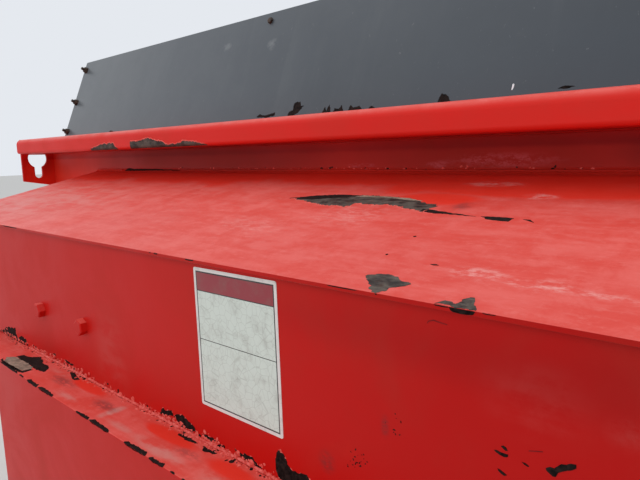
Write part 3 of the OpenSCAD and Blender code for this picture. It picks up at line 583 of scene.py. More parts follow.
# From this area on a face is a plate; plates blend up to 16 degrees, other faces up to 50
PLATE_AREA = 0.0015
PLATE_TURN, CORNER_TURN = 0.96, 0.64
SAME_PLANE = 0.999999


def level(mesh):
    """Large faces shade flat and true; the small ones between them carry the turn."""
    around = [[] for _ in mesh.vertices]
    for face in mesh.polygons:
        for v in face.vertices:
            around[v].append((face.normal.copy(), face.area))
    normals = []
    for face in mesh.polygons:
        for v in face.vertices:
            total = face.normal * face.area ** 2
            for normal, area in around[v]:
                turn = normal.dot(face.normal)
                plates = min(area, face.area) > PLATE_AREA
                if (PLATE_TURN if plates else CORNER_TURN) < turn < SAME_PLANE:
                    total = total + normal * area ** 2
            normals.append(total.normalized())
    mesh.normals_split_custom_set(normals)
    return mesh


def node_mesh(node):
    """A copy of a node's mesh with its loose triangles joined into whole faces."""
    mesh = frame["nodes"][node].data.copy()
    bm = bmesh.new()
    bm.from_mesh(mesh)
    bmesh.ops.remove_doubles(bm, verts=bm.verts, dist=2e-5)
    bmesh.ops.dissolve_limit(bm, angle_limit=math.radians(0.5), verts=bm.verts, edges=bm.edges)
    bm.to_mesh(mesh)
    bm.free()
    return mesh


def mesh_of(bm, name):
    """A mesh from bm with its faces turned outwards."""
    bmesh.ops.triangulate(bm, faces=[f for f in bm.faces if len(f.verts) > 4])
    bmesh.ops.recalc_face_normals(bm, faces=bm.faces)
    mesh = bpy.data.meshes.new(name)
    bm.to_mesh(mesh)
    bm.free()
    return mesh


def smooth(mesh, corner):
    """Smooth shading up to a corner of that many degrees."""
    mesh.polygons.foreach_set("use_smooth", [True] * len(mesh.polygons))
    mesh.set_sharp_from_angle(angle=math.radians(corner))
    return mesh


def turned(bm, outline, y, z, sides=64):
    """A lathe-turned form about an axis along X, from (x, radius) points with both ends at 0."""
    rings = []
    for x, r in outline:
        count = sides if r > 0 else 1
        angles = [2 * math.pi * k / sides for k in range(count)]
        rings.append([bm.verts.new((x, y + r * math.sin(a), z + r * math.cos(a))) for a in angles])
    for a, b in zip(rings, rings[1:]):
        for k in range(sides):
            j = (k + 1) % sides
            loop = [a[k % len(a)], a[j % len(a)], b[j % len(b)], b[k % len(b)]]
            bm.faces.new(list(dict.fromkeys(loop)))


# Sheets that carry marks: each gives a point from the way along it, the way up it and out of it
def flat_sheet(origin, rise):
    """A plain sheet: `up` is the way from its origin."""
    normal = ALONG.cross(rise)

    def place(along, up, out=0.0):
        return origin + ALONG * along + rise * up + normal * out
    return place


def folded_sheet(corner, into, off, radius):
    """A sheet round a corner: `up` is the way from the corner, minus before it and plus after."""
    centre = corner - into * radius + off * radius

    def place(along, up, out=0.0):
        if up <= -radius:
            point, normal = corner + into * up, ALONG.cross(into)
        elif up >= radius:
            point, normal = corner + off * up, ALONG.cross(off)
        else:
            turn = (up / radius + 1) * math.pi / 4
            normal = ALONG.cross(into) * math.cos(turn) + ALONG.cross(off) * math.sin(turn)
            point = centre + normal * radius
        return ALONG * along + point + normal * out
    return place


def creased_sheet(centre_y, centre_z, radius):
    """A wall's foot that turns out into the sheet below it: `up` is the height."""
    def place(along, up, out=0.0):
        turn = math.asin(min(1.0, max(0.0, (centre_z - up) / radius)))
        z = centre_z - (radius - out) * math.sin(turn) if turn else up
        return Vector((along, centre_y + (radius - out) * math.cos(turn), z))
    return place


def with_folded_ends(place):
    """The skirt's two ends lean in a little, and its edge with them."""
    def folded(along, up, out=0.0):
        past = max(0.0, abs(along) - SKIRT_FLAT) / (SKIRT_END - SKIRT_FLAT)
        point = place(along, up, out) + Vector((0, SKIRT_FOLD * past, 0))
        point.y = max(point.y, -LEDGE_Y)
        return point
    return folded


def on_left(place):
    """The same sheet on the other side of the hopper."""
    def mirrored(along, up, out=0.0):
        point = place(along, up, out)
        return Vector((point.x, -point.y, point.z))
    return mirrored


LIP = Vector((0, -LIP_Y, LIP_Z))
WALL_BEND_R = 0.012
SHEETS = {
    "shoulder": flat_sheet(LIP, SHOULDER_RISE),
    "side": flat_sheet(Vector((0, -SIDE_Y, 0)), RISE),
    "wall_foot": creased_sheet(-MOUTH_Y - WALL_BEND_R, 1.4105, WALL_BEND_R),
    "ledge": flat_sheet(Vector((0, 0, LEDGE_Z)), INWARD),
    "guard": flat_sheet(Vector((0, -GUARD_Y, RAIL_TOP)), GUARD_RISE),
    "rail_foot": folded_sheet(Vector((0, -RAIL_Y, RAIL_Z)), -INWARD, RISE, RAIL_LOW_R),
    "ledge_edge": with_folded_ends(
        folded_sheet(Vector((0, -LEDGE_Y, LEDGE_Z)), RISE, INWARD, EASE)
    ),
    "lip_edge": folded_sheet(LIP, ALONG.cross(SHOULDER_RISE), SHOULDER_RISE, EASE),
}


def ragged(outline, depth, seed, fine):
    """An outline cut into short steps whose points wander like a broken paint edge."""
    points = []
    for i, (x0, z0) in enumerate(outline):
        x1, z1 = outline[(i + 1) % len(outline)]
        n = max(1, round(math.hypot(x1 - x0, z1 - z0) / CHIP_STEP))
        points += [(x0 + (x1 - x0) * k / n, z0 + (z1 - z0) * k / n) for k in range(n)]
    out = []
    for x, z in points:
        shift = [0.0, 0.0]
        for scale, share in ((60, 0.9), (190, fine), (560, 0.3 * fine)):
            at = Vector((x * scale, z * scale, seed * 7.3))
            shift[0] += depth * share * noise.noise(at)
            shift[1] += depth * share * noise.noise(at + Vector((31, 17, 5)))
        out.append((x + shift[0], z + shift[1]))
    return out


def patch_mesh(bm, place, outline, high, finish):
    """A thin closed plate with that outline, from inside the sheet to that height off it."""
    tops = [bm.verts.new(place(x, z, high)) for x, z in outline]
    feet = [bm.verts.new(place(x, z, SUNK)) for x, z in outline]
    faces = [bm.faces.new(tops), bm.faces.new(feet[::-1])]
    n = len(tops)
    for i in range(n):
        j = (i + 1) % n
        faces.append(bm.faces.new([tops[j], tops[i], feet[i], feet[j]]))
    for face in faces:
        face.material_index = finish


def edge_chip(bm, place, profile, seed, finish=0, step=0.0025, rows=8, wander=0.0016):
    """Lost paint round an edge: profile lists (along, lowest, highest) and is kept ragged."""
    columns = []
    x0, x1 = profile[0][0], profile[-1][0]
    n = max(3, round((x1 - x0) / step))
    for k in range(n + 1):
        x = x0 + (x1 - x0) * k / n
        i = next(i for i in range(len(profile) - 1) if x <= profile[i + 1][0] + 1e-9)
        (xa, la, ha), (xb, lb, hb) = profile[i], profile[i + 1]
        share = (x - xa) / (xb - xa)
        fade = min(1.0, k / 3, (n - k) / 3)
        low = la + (lb - la) * share
        high = ha + (hb - ha) * share
        for scale, part in ((120, 1.0), (430, 0.7)):
            high += wander * part * fade * noise.noise(Vector((x * scale, seed * 5.1, 1.7)))
            low += 0.6 * wander * part * fade * noise.noise(Vector((x * scale, seed * 5.1, 9.2)))
        columns.append((x, low, max(high, low + 0.0004)))
    outer, inner = (
        [
            [bm.verts.new(place(x, low + (high - low) * r / rows, out)) for r in range(rows + 1)]
            for x, low, high in columns
        ]
        for out in (PROUD, SUNK)
    )
    faces = []
    for grid, flip in ((outer, False), (inner, True)):
        for a, b in zip(grid, grid[1:]):
            for r in range(rows):
                loop = [a[r], b[r], b[r + 1], a[r + 1]]
                faces.append(bm.faces.new(loop[::-1] if flip else loop))
    rim = (
        [(c, 0) for c in range(n + 1)] + [(n, r) for r in range(1, rows + 1)]
        + [(c, rows) for c in range(n - 1, -1, -1)] + [(0, r) for r in range(rows - 1, 0, -1)]
    )
    for (c, r), (d, s) in zip(rim, rim[1:] + rim[:1]):
        faces.append(bm.faces.new([outer[c][r], inner[c][r], inner[d][s], outer[d][s]]))
    for face in faces:
        face.material_index = finish
    return [(x, high) for x, _, high in columns]


def lip_mesh(bm, place, path, width, height, seed):
    """A crumbly ridge of broken paint along a path on the sheet."""
    rings = []
    n = len(path)
    for i, (x, z) in enumerate(path):
        x0, z0 = path[max(i - 1, 0)]
        x1, z1 = path[min(i + 1, n - 1)]
        run = math.hypot(x1 - x0, z1 - z0) or 1.0
        side = (-(z1 - z0) / run, (x1 - x0) / run)
        swell = 0.45 + 1.3 * abs(noise.noise(Vector((x * 260, z * 260, seed))))
        swell *= min(1.0, 0.25 + min(i, n - 1 - i) / 3)
        rings.append([
            bm.verts.new(place(
                x + side[0] * across * width / 2 * swell,
                z + side[1] * across * width / 2 * swell,
                up * height * swell,
            ))
            for across, up in ((-1, -0.3), (-0.5, 0.9), (0.5, 0.7), (1, -0.3))
        ])
    for a, b in zip(rings, rings[1:]):
        for k in range(4):
            bm.faces.new([a[k], a[(k + 1) % 4], b[(k + 1) % 4], b[k]])
    bm.faces.new(rings[0][::-1])
    bm.faces.new(rings[-1])


BARE, BLACK, TAN, WINE, PALE = 0, 1, 2, 3, 4
# Lost paint on the photographed side: sheet, what shows there, raggedness, outline
CHIPS = [
    # The torn strip on the shoulder, then its thin tail and the scraps past it
    ("shoulder", BARE, 0.0045, [
        (-0.636, 0.259), (-0.608, 0.272), (-0.577, 0.283), (-0.528, 0.288), (-0.490, 0.289),
        (-0.450, 0.287), (-0.413, 0.284), (-0.380, 0.272), (-0.353, 0.258), (-0.354, 0.244),
        (-0.358, 0.229), (-0.383, 0.238), (-0.408, 0.245), (-0.431, 0.253), (-0.450, 0.248),
        (-0.484, 0.251), (-0.490, 0.230), (-0.514, 0.236), (-0.534, 0.233), (-0.562, 0.238),
        (-0.596, 0.251)]),
    ("shoulder", BLACK, 0.002, [
        (-0.364, 0.242), (-0.345, 0.240), (-0.325, 0.2350), (-0.305, 0.2312), (-0.279, 0.2270),
        (-0.300, 0.2268), (-0.322, 0.2278), (-0.340, 0.2285), (-0.364, 0.2330)]),
    ("shoulder", BLACK, 0.002, [
        (-0.273, 0.228), (-0.252, 0.229), (-0.231, 0.227), (-0.233, 0.216), (-0.251, 0.217),
        (-0.263, 0.220)]),
    ("shoulder", BLACK, 0.001, [
        (-0.219, 0.2255), (-0.210, 0.2250), (-0.203, 0.2170), (-0.2085, 0.2200)]),
    # Two chips at the shoulder's lip
    ("shoulder", BARE, 0.003, [
        (-0.303, 0.030), (-0.301, 0.036), (-0.290, 0.038), (-0.275, 0.039), (-0.263, 0.034),
        (-0.248, 0.031), (-0.250, 0.0225), (-0.258, 0.017), (-0.262, 0.010), (-0.266, 0.0020),
        (-0.269, 0.0005), (-0.281, 0.008), (-0.292, 0.019)]),
    ("shoulder", BARE, 0.002, [
        (-0.205, 0.0008), (-0.199, 0.008), (-0.191, 0.007), (-0.187, 0.007), (-0.186, 0.016),
        (-0.182, 0.022), (-0.178, 0.022), (-0.172, 0.010), (-0.164, 0.0010), (-0.178, 0.0006),
        (-0.190, 0.0006)]),
    # Specks on the shoulder
    ("shoulder", BLACK, 0.001, [
        (-0.317, 0.087), (-0.315, 0.089), (-0.313, 0.087), (-0.315, 0.085)]),
    ("shoulder", BLACK, 0.001, [
        (-0.3185, 0.1455), (-0.3155, 0.1475), (-0.3135, 0.145), (-0.3165, 0.1435)]),
    ("shoulder", BLACK, 0.001, [
        (-0.254, 0.0770), (-0.248, 0.0784), (-0.244, 0.0764), (-0.249, 0.0754)]),
    # Along the foot of the side sheet
    ("side", BLACK, 0.004, [
        (-1.3500, 1.0500), (-1.3208, 1.0611), (-1.3050, 1.0681), (-1.2840, 1.0709),
        (-1.2489, 1.0798), (-1.2473, 1.0630), (-1.2402, 1.0560), (-1.2200, 1.0640),
        (-1.2054, 1.0678), (-1.1929, 1.0582), (-1.2119, 1.0496), (-1.2851, 1.0496)]),
    ("side", BLACK, 0.0015, [
        (-1.0635, 1.0625), (-1.0560, 1.0650), (-1.0476, 1.0650), (-1.0463, 1.0602),
        (-1.0592, 1.0595)]),
    ("side", BLACK, 0.0015, [
        (-1.0113, 1.0617), (-0.9941, 1.0636), (-0.9689, 1.0610), (-0.9740, 1.0586),
        (-0.9998, 1.0589)]),
    ("side", BLACK, 0.004, [
        (-0.679, 1.0575), (-0.667, 1.070), (-0.662, 1.064), (-0.646, 1.070), (-0.644, 1.062),
        (-0.658, 1.058)]),
    ("side", BLACK, 0.004, [
        (-0.641, 1.0645), (-0.625, 1.071), (-0.6155, 1.0695), (-0.601, 1.0665), (-0.592, 1.062),
        (-0.584, 1.056), (-0.607, 1.054), (-0.622, 1.0505), (-0.632, 1.055)]),
    ("side", BLACK, 0.003, [
        (-0.576, 1.057), (-0.558, 1.0585), (-0.542, 1.059), (-0.529, 1.0575), (-0.5275, 1.0531),
        (-0.547, 1.0527), (-0.567, 1.054)]),
    ("side", BLACK, 0.004, [
        (-0.501, 1.063), (-0.494, 1.0595), (-0.480, 1.062), (-0.469, 1.058), (-0.454, 1.054),
        (-0.448, 1.052), (-0.464, 1.0503), (-0.491, 1.0503), (-0.486, 1.054), (-0.498, 1.057)]),
    ("side", BLACK, 0.004, [
        (-0.4228, 1.076), (-0.4187, 1.088), (-0.415, 1.092), (-0.411, 1.0855), (-0.4065, 1.076),
        (-0.397, 1.073), (-0.384, 1.072), (-0.374, 1.073), (-0.368, 1.071), (-0.372, 1.058),
        (-0.400, 1.0505), (-0.420, 1.0505), (-0.423, 1.062)]),
    # Knocks on the side sheet, and two fine scratches
    ("side", BLACK, 0.001, [
        (-0.1495, 1.1861), (-0.1470, 1.1863), (-0.1426, 1.1854), (-0.1392, 1.1854),
        (-0.1368, 1.1857), (-0.1372, 1.1836), (-0.1406, 1.1823), (-0.1445, 1.1829),
        (-0.1475, 1.1841)]),
    ("side", BLACK, 0.001, [
        (-0.1437, 1.1912), (-0.1413, 1.1928), (-0.1389, 1.1917), (-0.1376, 1.1890),
        (-0.1395, 1.1885), (-0.1420, 1.1898)]),
    ("side", BLACK, 0.001, [
        (-0.1452, 1.1701), (-0.1427, 1.1695), (-0.1397, 1.1682), (-0.1370, 1.1672),
        (-0.1395, 1.1655), (-0.1421, 1.1662), (-0.1444, 1.1681)]),
    ("side", BLACK, 0.0006, [
        (-0.1254, 1.1835), (-0.1226, 1.1838), (-0.1189, 1.1821), (-0.1198, 1.1812),
        (-0.1231, 1.1819)]),
    ("side", BLACK, 0.001, [
        (-0.1059, 1.1858), (-0.1027, 1.1874), (-0.0992, 1.1877), (-0.0972, 1.1900),
        (-0.0943, 1.1933), (-0.0902, 1.1942), (-0.0874, 1.1966), (-0.0833, 1.1975),
        (-0.0827, 1.1938), (-0.0851, 1.1915), (-0.0892, 1.1899), (-0.0916, 1.1882),
        (-0.0961, 1.1849), (-0.0981, 1.1808), (-0.1002, 1.1804), (-0.1024, 1.1815),
        (-0.1051, 1.1838)]),
    ("side", WINE, 0.0002, [
        (-0.2154, 1.2842), (-0.2137, 1.2868), (-0.2086, 1.2886), (-0.2025, 1.2877),
        (-0.1948, 1.2870), (-0.1948, 1.2863), (-0.2025, 1.2868), (-0.2086, 1.2877),
        (-0.2132, 1.2860), (-0.2149, 1.2838)]),
    ("side", WINE, 0.0003, [
        (-0.1197, 1.1956), (-0.1140, 1.1974), (-0.1086, 1.1988), (-0.1086, 1.1980),
        (-0.1140, 1.1966), (-0.1197, 1.1949)]),
    # On the ledge: a tan patch between dark rims, the outer one a painted shadow under its raised
    # edge, then smaller chips
    ("ledge", BLACK, 0.0015, [
        (-1.1520, -1.1090), (-1.1420, -1.1140), (-1.1042, -1.1145), (-1.0500, -1.1120),
        (-1.0480, -1.0980), (-1.0400, -1.0960), (-1.0400, -1.1170), (-1.0688, -1.1200),
        (-1.1042, -1.1195), (-1.1480, -1.1175)]),
    ("ledge", TAN, 0.003, [
        (-1.1395, -1.1166), (-1.1550, -1.1032), (-1.1399, -1.0897), (-1.1148, -1.0894),
        (-1.0823, -1.0900), (-1.0538, -1.0907), (-1.0467, -1.0964), (-1.0500, -1.1120),
        (-1.0688, -1.1150), (-1.1042, -1.1155)]),
    ("ledge", BLACK, 0.004, [
        (-1.1443, -1.0892), (-1.1412, -1.0787), (-1.1131, -1.0701), (-1.0982, -1.0590),
        (-1.0649, -1.0688), (-1.0217, -1.0744), (-1.0115, -1.0871), (-1.0302, -1.0917),
        (-1.0874, -1.0885)]),
    ("ledge", BLACK, 0.002, [
        (-0.9704, -1.0577), (-0.9654, -1.0537), (-0.9445, -1.0571), (-0.9225, -1.0621),
        (-0.9287, -1.0703), (-0.9500, -1.0648)]),
    ("ledge", BLACK, 0.003, [
        (-0.615, -1.0600), (-0.592, -1.0585), (-0.572, -1.0590), (-0.575, -1.0630),
        (-0.596, -1.0660), (-0.611, -1.0645)]),
    ("ledge", BLACK, 0.003, [
        (-0.560, -1.0600), (-0.545, -1.0585), (-0.530, -1.0590), (-0.533, -1.0650),
        (-0.550, -1.0660)]),
    # The crack along the wall's foot
    ("wall_foot", BLACK, 0.0010, [
        (-1.474, 1.4010), (-1.462, 1.4075), (-1.445, 1.4080), (-1.430, 1.4055),
        (-1.400, 1.4060), (-1.300, 1.4055), (-1.200, 1.4035), (-1.200, 1.4020),
        (-1.300, 1.4020), (-1.400, 1.4010)]),
    # Along the guard board's foot, and one pale fleck
    ("guard", BLACK, 0.005, [
        (-0.790, 0.006), (-0.786, 0.016), (-0.776, 0.022), (-0.779, 0.032), (-0.768, 0.036),
        (-0.757, 0.036), (-0.757, 0.028), (-0.748, 0.026), (-0.755, 0.018), (-0.764, 0.013),
        (-0.772, 0.005)]),
    ("guard", BLACK, 0.002, [
        (-0.884, 0.012), (-0.875, 0.018), (-0.860, 0.014), (-0.840, 0.016), (-0.828, 0.019),
        (-0.826, 0.012), (-0.852, 0.009)]),
    ("guard", BLACK, 0.003, [
        (-0.696, 0.005), (-0.690, 0.020), (-0.684, 0.012), (-0.678, 0.024), (-0.672, 0.010),
        (-0.676, 0.004)]),
    ("guard", BLACK, 0.003, [
        (-0.668, 0.004), (-0.662, 0.017), (-0.654, 0.012), (-0.648, 0.020), (-0.640, 0.008),
        (-0.652, 0.003)]),
    ("guard", BLACK, 0.003, [
        (-0.630, 0.004), (-0.624, 0.019), (-0.617, 0.014), (-0.604, 0.016), (-0.594, 0.006),
        (-0.612, 0.003)]),
    ("guard", BLACK, 0.003, [
        (-0.585, 0.004), (-0.577, 0.013), (-0.566, 0.009), (-0.558, 0.004)]),
    ("guard", BLACK, 0.003, [
        (-0.443, 0.008), (-0.441, 0.017), (-0.436, 0.024), (-0.428, 0.020), (-0.418, 0.010),
        (-0.428, 0.006)]),
    ("guard", BLACK, 0.0015, [
        (-0.252, 0.013), (-0.243, 0.017), (-0.229, 0.0145), (-0.240, 0.0115)]),
    ("guard", BLACK, 0.002, [
        (-1.535, 0.0060), (-1.520, 0.0120), (-1.505, 0.0100), (-1.490, 0.0060), (-1.510, 0.0040)]),
    ("guard", PALE, 0.001, [
        (-0.3205, 0.0262), (-0.3190, 0.0275), (-0.3172, 0.0255), (-0.3182, 0.0175),
        (-0.3200, 0.0175)]),
]
# Where the torn strip's paint has lifted, a black patch is a painted shadow under it; its upper
# edge keeps a streak of primer
LIFTED_SHADOW = [
    (-0.636, 0.259), (-0.608, 0.273), (-0.577, 0.284), (-0.540, 0.289), (-0.500, 0.2895),
    (-0.515, 0.282), (-0.547, 0.270), (-0.585, 0.258)]
PRIMER_STREAK = [
    (-0.520, 0.2835), (-0.495, 0.2905), (-0.450, 0.2890), (-0.413, 0.2850), (-0.384, 0.2740),
    (-0.400, 0.2745), (-0.430, 0.2800), (-0.470, 0.2830)]
# Lost paint round the edges: along, lowest, highest
RAIL_CHIPS = [
    [(-1.443, -0.004, -0.001), (-1.441, -0.005, 0.005), (-1.429, -0.005, 0.0085),
     (-1.393, -0.005, 0.0145), (-1.358, -0.005, 0.0170), (-1.319, -0.005, 0.0175),
     (-1.304, -0.005, 0.0070), (-1.299, -0.004, 0.0)],
    [(-1.237, -0.004, 0.0), (-1.234, -0.005, 0.0180), (-1.192, -0.005, 0.0186),
     (-1.154, -0.005, 0.0235), (-1.1185, -0.005, 0.0172), (-1.089, -0.005, 0.0137),
     (-1.076, -0.005, 0.0067), (-1.034, -0.005, 0.0074), (-1.010, -0.005, 0.0125),
     (-0.9715, -0.005, 0.0094), (-0.9455, -0.005, 0.0062), (-0.929, -0.004, 0.0)],
]
# Chips on a sharp edge: from x, to x, how far down the edge and how far up it
LEDGE_CHIPS = [
    (-0.998, -0.952, 0.0030, 0.0050), (-0.947, -0.889, 0.0030, 0.0055),
    (-1.140, -1.046, 0.0015, 0.0030), (-1.036, -1.016, 0.0015, 0.0022),
    (-0.802, -0.760, 0.0028, 0.0038), (-0.757, -0.698, 0.0030, 0.0052),
    (-0.654, -0.598, 0.0028, 0.0060), (-0.590, -0.556, 0.0025, 0.0055),
    (-0.540, -0.530, 0.0010, 0.0020), (-0.515, -0.495, 0.0010, 0.0018),
]
LIP_CHIPS = [
    (-0.190, -0.166, 0.0050, 0.0005), (-0.205, -0.190, 0.0015, 0.0005),
    (-0.160, -0.147, 0.0010, 0.0005), (-0.330, -0.290, 0.0015, 0.0002),
    (-0.2690, -0.2660, 0.0018, 0.0005), (-0.668, -0.663, 0.0018, 0.0005),
    (-0.656, -0.645, 0.0022, 0.0005), (-0.580, -0.560, 0.0024, 0.0004),
    (-1.240, -1.160, 0.0025, 0.0002),
]
# A chip's share of its full size along its length
FLAT_TOP = [(0.0, 0.2), (0.08, 0.85), (0.5, 1.0), (0.92, 0.8), (1.0, 0.2)]


def nearest(path, point):
    """The number of the path's point that lies nearest."""
    return min(range(len(path)), key=lambda i: math.dist(path[i], point))


def make_chips(edge, *shown):
    """Every chip of the photographed side, and the pale ridges where the paint broke."""
    bm, ridges = bmesh.new(), bmesh.new()
    for seed, (sheet, shows, depth, outline) in enumerate(CHIPS):
        jagged = sheet == "shoulder" and shows == BARE
        points = ragged(outline, depth, seed, 1.1 if jagged else 0.6)
        patch_mesh(bm, SHEETS[sheet], points, PROUD, shows)
        if sheet == "side" and outline[0][1] < 1.1:
            for start in range(0, len(points) - 6, 9):
                length = 3 + int(9 * abs(noise.noise(Vector((start * 0.7, seed, 3)))))
                run = points[start:start + length]
                lip_mesh(ridges, SHEETS[sheet], run, 0.0026, 0.0016, seed + start)
    # The black patch under the lifted paint is a painted shadow; the primer streak is real
    for shows, outline in ((BLACK, LIFTED_SHADOW), (TAN, PRIMER_STREAK)):
        points = ragged(outline, 0.0022, 41, 0.5)
        patch_mesh(bm, SHEETS["shoulder"], points, 0.0005, shows)
    for seed, profile in enumerate(RAIL_CHIPS):
        top = edge_chip(bm, SHEETS["rail_foot"], profile, seed, BARE, rows=12, wander=0.0028)
        lip_mesh(ridges, SHEETS["rail_foot"], top[1:-1], 0.0034, 0.0012, seed)
    for sheet, chips in (("ledge_edge", LEDGE_CHIPS), ("lip_edge", LIP_CHIPS)):
        for seed, (x0, x1, down, up) in enumerate(chips):
            profile = [(x0 + (x1 - x0) * u, -down * s, up * s) for u, s in FLAT_TOP]
            wander = min(0.0024, 0.6 * up)
            edge_chip(bm, SHEETS[sheet], profile, seed + 3, BLACK, CHIP_STEP, 6, wander)
    strip, lower_edge = CHIPS[0][3], 9
    path = ragged(strip, CHIPS[0][2], 0, 1.1)
    lip_mesh(ridges, SHEETS["shoulder"], path[nearest(path, strip[lower_edge]):], 0.0022, 0.0010, 1)
    new_piece("lost_paint", mesh_of(bm, "lost_paint"), "hopper", "red_paint", *shown)
    # The ridges where the paint broke are pale partly as a painted highlight
    new_piece("paint_edges", mesh_of(ridges, "paint_edges"), "hopper", "red_paint", edge)


def make_far_chips(bare, black):
    """Chips of the same kind on the edges that the photograph doesn't show."""
    pick = random.Random(11)
    bm = bmesh.new()
    # Edge, whether it is the left one, from x, to x, how many
    spans = [
        ("ledge_edge", True, -1.15, 0.78, 14), ("lip_edge", True, -1.6, 1.6, 16),
        ("rail_foot", True, -1.9, 1.9, 12), ("ledge_edge", False, -0.25, 1.15, 9),
        ("lip_edge", False, 0.1, 1.6, 8), ("rail_foot", False, 0.1, 1.9, 7),
    ]
    for sheet, left, x0, x1, count in spans:
        place = on_left(SHEETS[sheet]) if left else SHEETS[sheet]
        size = 0.016 if sheet == "rail_foot" else 0.005
        for k in range(count):
            start = x0 + (x1 - x0) * (k + 0.75 * pick.random()) / count
            length = 0.012 + 0.08 * pick.random() ** 2
            high = size * (0.3 + 0.7 * pick.random())
            profile = [(start + length * u, -0.003 * s, high * s) for u, s in FLAT_TOP]
            edge_chip(bm, place, profile, k, pick.choice((BARE, BLACK)), rows=6)
    new_piece("far_chips", mesh_of(bm, "far_chips"), "hopper", "red_paint", bare, black)


# Repeated pieces
def node_group(name, sizes):
    """A geometry tree with named number inputs: the group, its short calls, its ends, the ids."""
    group = bpy.data.node_groups.new(name, "GeometryNodeTree")
    face = group.interface
    face.new_socket("Geometry", in_out="INPUT", socket_type="NodeSocketGeometry")
    ids = {}
    for size in sizes:
        socket = face.new_socket(size, in_out="INPUT", socket_type="NodeSocketFloat")
        ids[size] = socket.identifier
    face.new_socket("Geometry", in_out="OUTPUT", socket_type="NodeSocketGeometry")
    start = group.nodes.new("NodeGroupInput")
    end = group.nodes.new("NodeGroupOutput")
    return group, Tree(group), start.outputs, end.inputs[0], ids


def grown(name, mesh, group, ids, values, end, solid, finish):
    """The plain mesh that a geometry tree makes from mesh, with its sizes set."""
    t = Tree(group)
    solid = t.add("GeometryNodeRealizeInstances", Geometry=solid)
    solid = t.add("GeometryNodeSetMaterial", Geometry=solid, Material=finish)
    group.links.new(solid, end)
    obj = bpy.data.objects.new(name, mesh)
    bpy.context.scene.collection.objects.link(obj)
    modifier = obj.modifiers.new(name, "NODES")
    modifier.node_group = group
    for size, value in values.items():
        modifier[ids[size]] = value
    return baked(obj)


def stamp(name, places, form, size, finish, body, slot):
    """Copies of a small form, one at each (place, way it faces) and maybe its stretch.

    The size of a bolt, stud or nut is its thread's radius.
    """
    mesh = bpy.data.meshes.new(name)
    mesh.from_pydata([p[0] for p in places], [], [])
    for attribute, index, plain in (("facing", 1, None), ("stretch", 2, (1, 1, 1))):
        values = mesh.attributes.new(attribute, "FLOAT_VECTOR", "POINT")
        for i, place in enumerate(places):
            values.data[i].vector = place[index] if len(place) > index else plain
    group, t, start, end, ids = node_group(name, ["Size"])
    settings = {"data_type": "FLOAT_VECTOR"}
    facing = t.add("GeometryNodeInputNamedAttribute", settings=settings, Name="facing")
    stretch = t.add("GeometryNodeInputNamedAttribute", settings=settings, Name="stretch")
    turn = t.add("FunctionNodeAlignRotationToVector", settings={"axis": "Z"}, Vector=facing)
    spin = t.times(t.add("GeometryNodeInputIndex"), 1.7)
    turn = t.add(
        "FunctionNodeRotateRotation", settings={"rotation_space": "LOCAL"},
        Rotation=turn, Rotate_By=t.add("ShaderNodeCombineXYZ", Z=spin),
    )
    points = t.add(
        "GeometryNodeInstanceOnPoints", Points=start["Geometry"],
        Instance=form(t, start["Size"]), Rotation=turn, Scale=stretch,
    )
    mesh = grown(name, mesh, group, ids, {"Size": size}, end, points, finish)
    return new_piece(name, mesh, body, slot, finish)


def joined(t, *parts):
    """Several forms as one."""
    join = t.tree.nodes.new("GeometryNodeJoinGeometry")
    for part in reversed(parts):
        t.tree.links.new(part, join.inputs[0])
    return join.outputs[0]


def cone(t, size, radius, top, height, low, sides):
    """A prism or cone, all in shares of size, standing on the share low."""
    def share(k):
        return t.times(size, k)

    solid = t.add(
        "GeometryNodeMeshCone", Vertices=sides, Radius_Bottom=share(radius),
        Radius_Top=share(top), Depth=share(height),
    )
    up = t.add("ShaderNodeCombineXYZ", Z=share(low))
    return t.add("GeometryNodeTransform", Geometry=solid, Translation=up)


def hex_bolt(t, size):
    """Washer and chamfered hexagon head."""
    return joined(
        t,
        cone(t, size, 2.05, 2.0, 0.37, -0.05, 24),
        cone(t, size, 1.80, 1.80, 1.05, 0.30, 6),
        cone(t, size, 1.80, 1.45, 0.18, 1.35, 6),
    )


def bare_head(t, size):
    """A hexagon head with no washer, its top edge chamfered."""
    return joined(
        t, cone(t, size, 1.75, 1.75, 1.35, -0.05, 6), cone(t, size, 1.75, 1.40, 0.16, 1.30, 6)
    )


def stud_and_nut(t, size):
    """Nut on a stud that stands well out of it."""
    return joined(
        t,
        cone(t, size, 2.0, 2.0, 0.35, -0.05, 18),
        cone(t, size, 1.80, 1.70, 1.4, 0.30, 6),
        cone(t, size, 1.0, 0.85, 3.4, 0.0, 12),
    )


def grease_nipple(t, size):
    """A hexagon foot, a cone and a small round tip."""
    return joined(
        t,
        cone(t, size, 1.2, 1.2, 1.0, -0.1, 6),
        cone(t, size, 0.8, 0.4, 1.3, 0.9, 12),
        cone(t, size, 0.55, 0.45, 0.6, 2.1, 12),
    )


def crumb(t, size):
    """A small rough lump of paint."""
    return t.add("GeometryNodeMeshIcoSphere", Radius=size, Subdivisions=1)


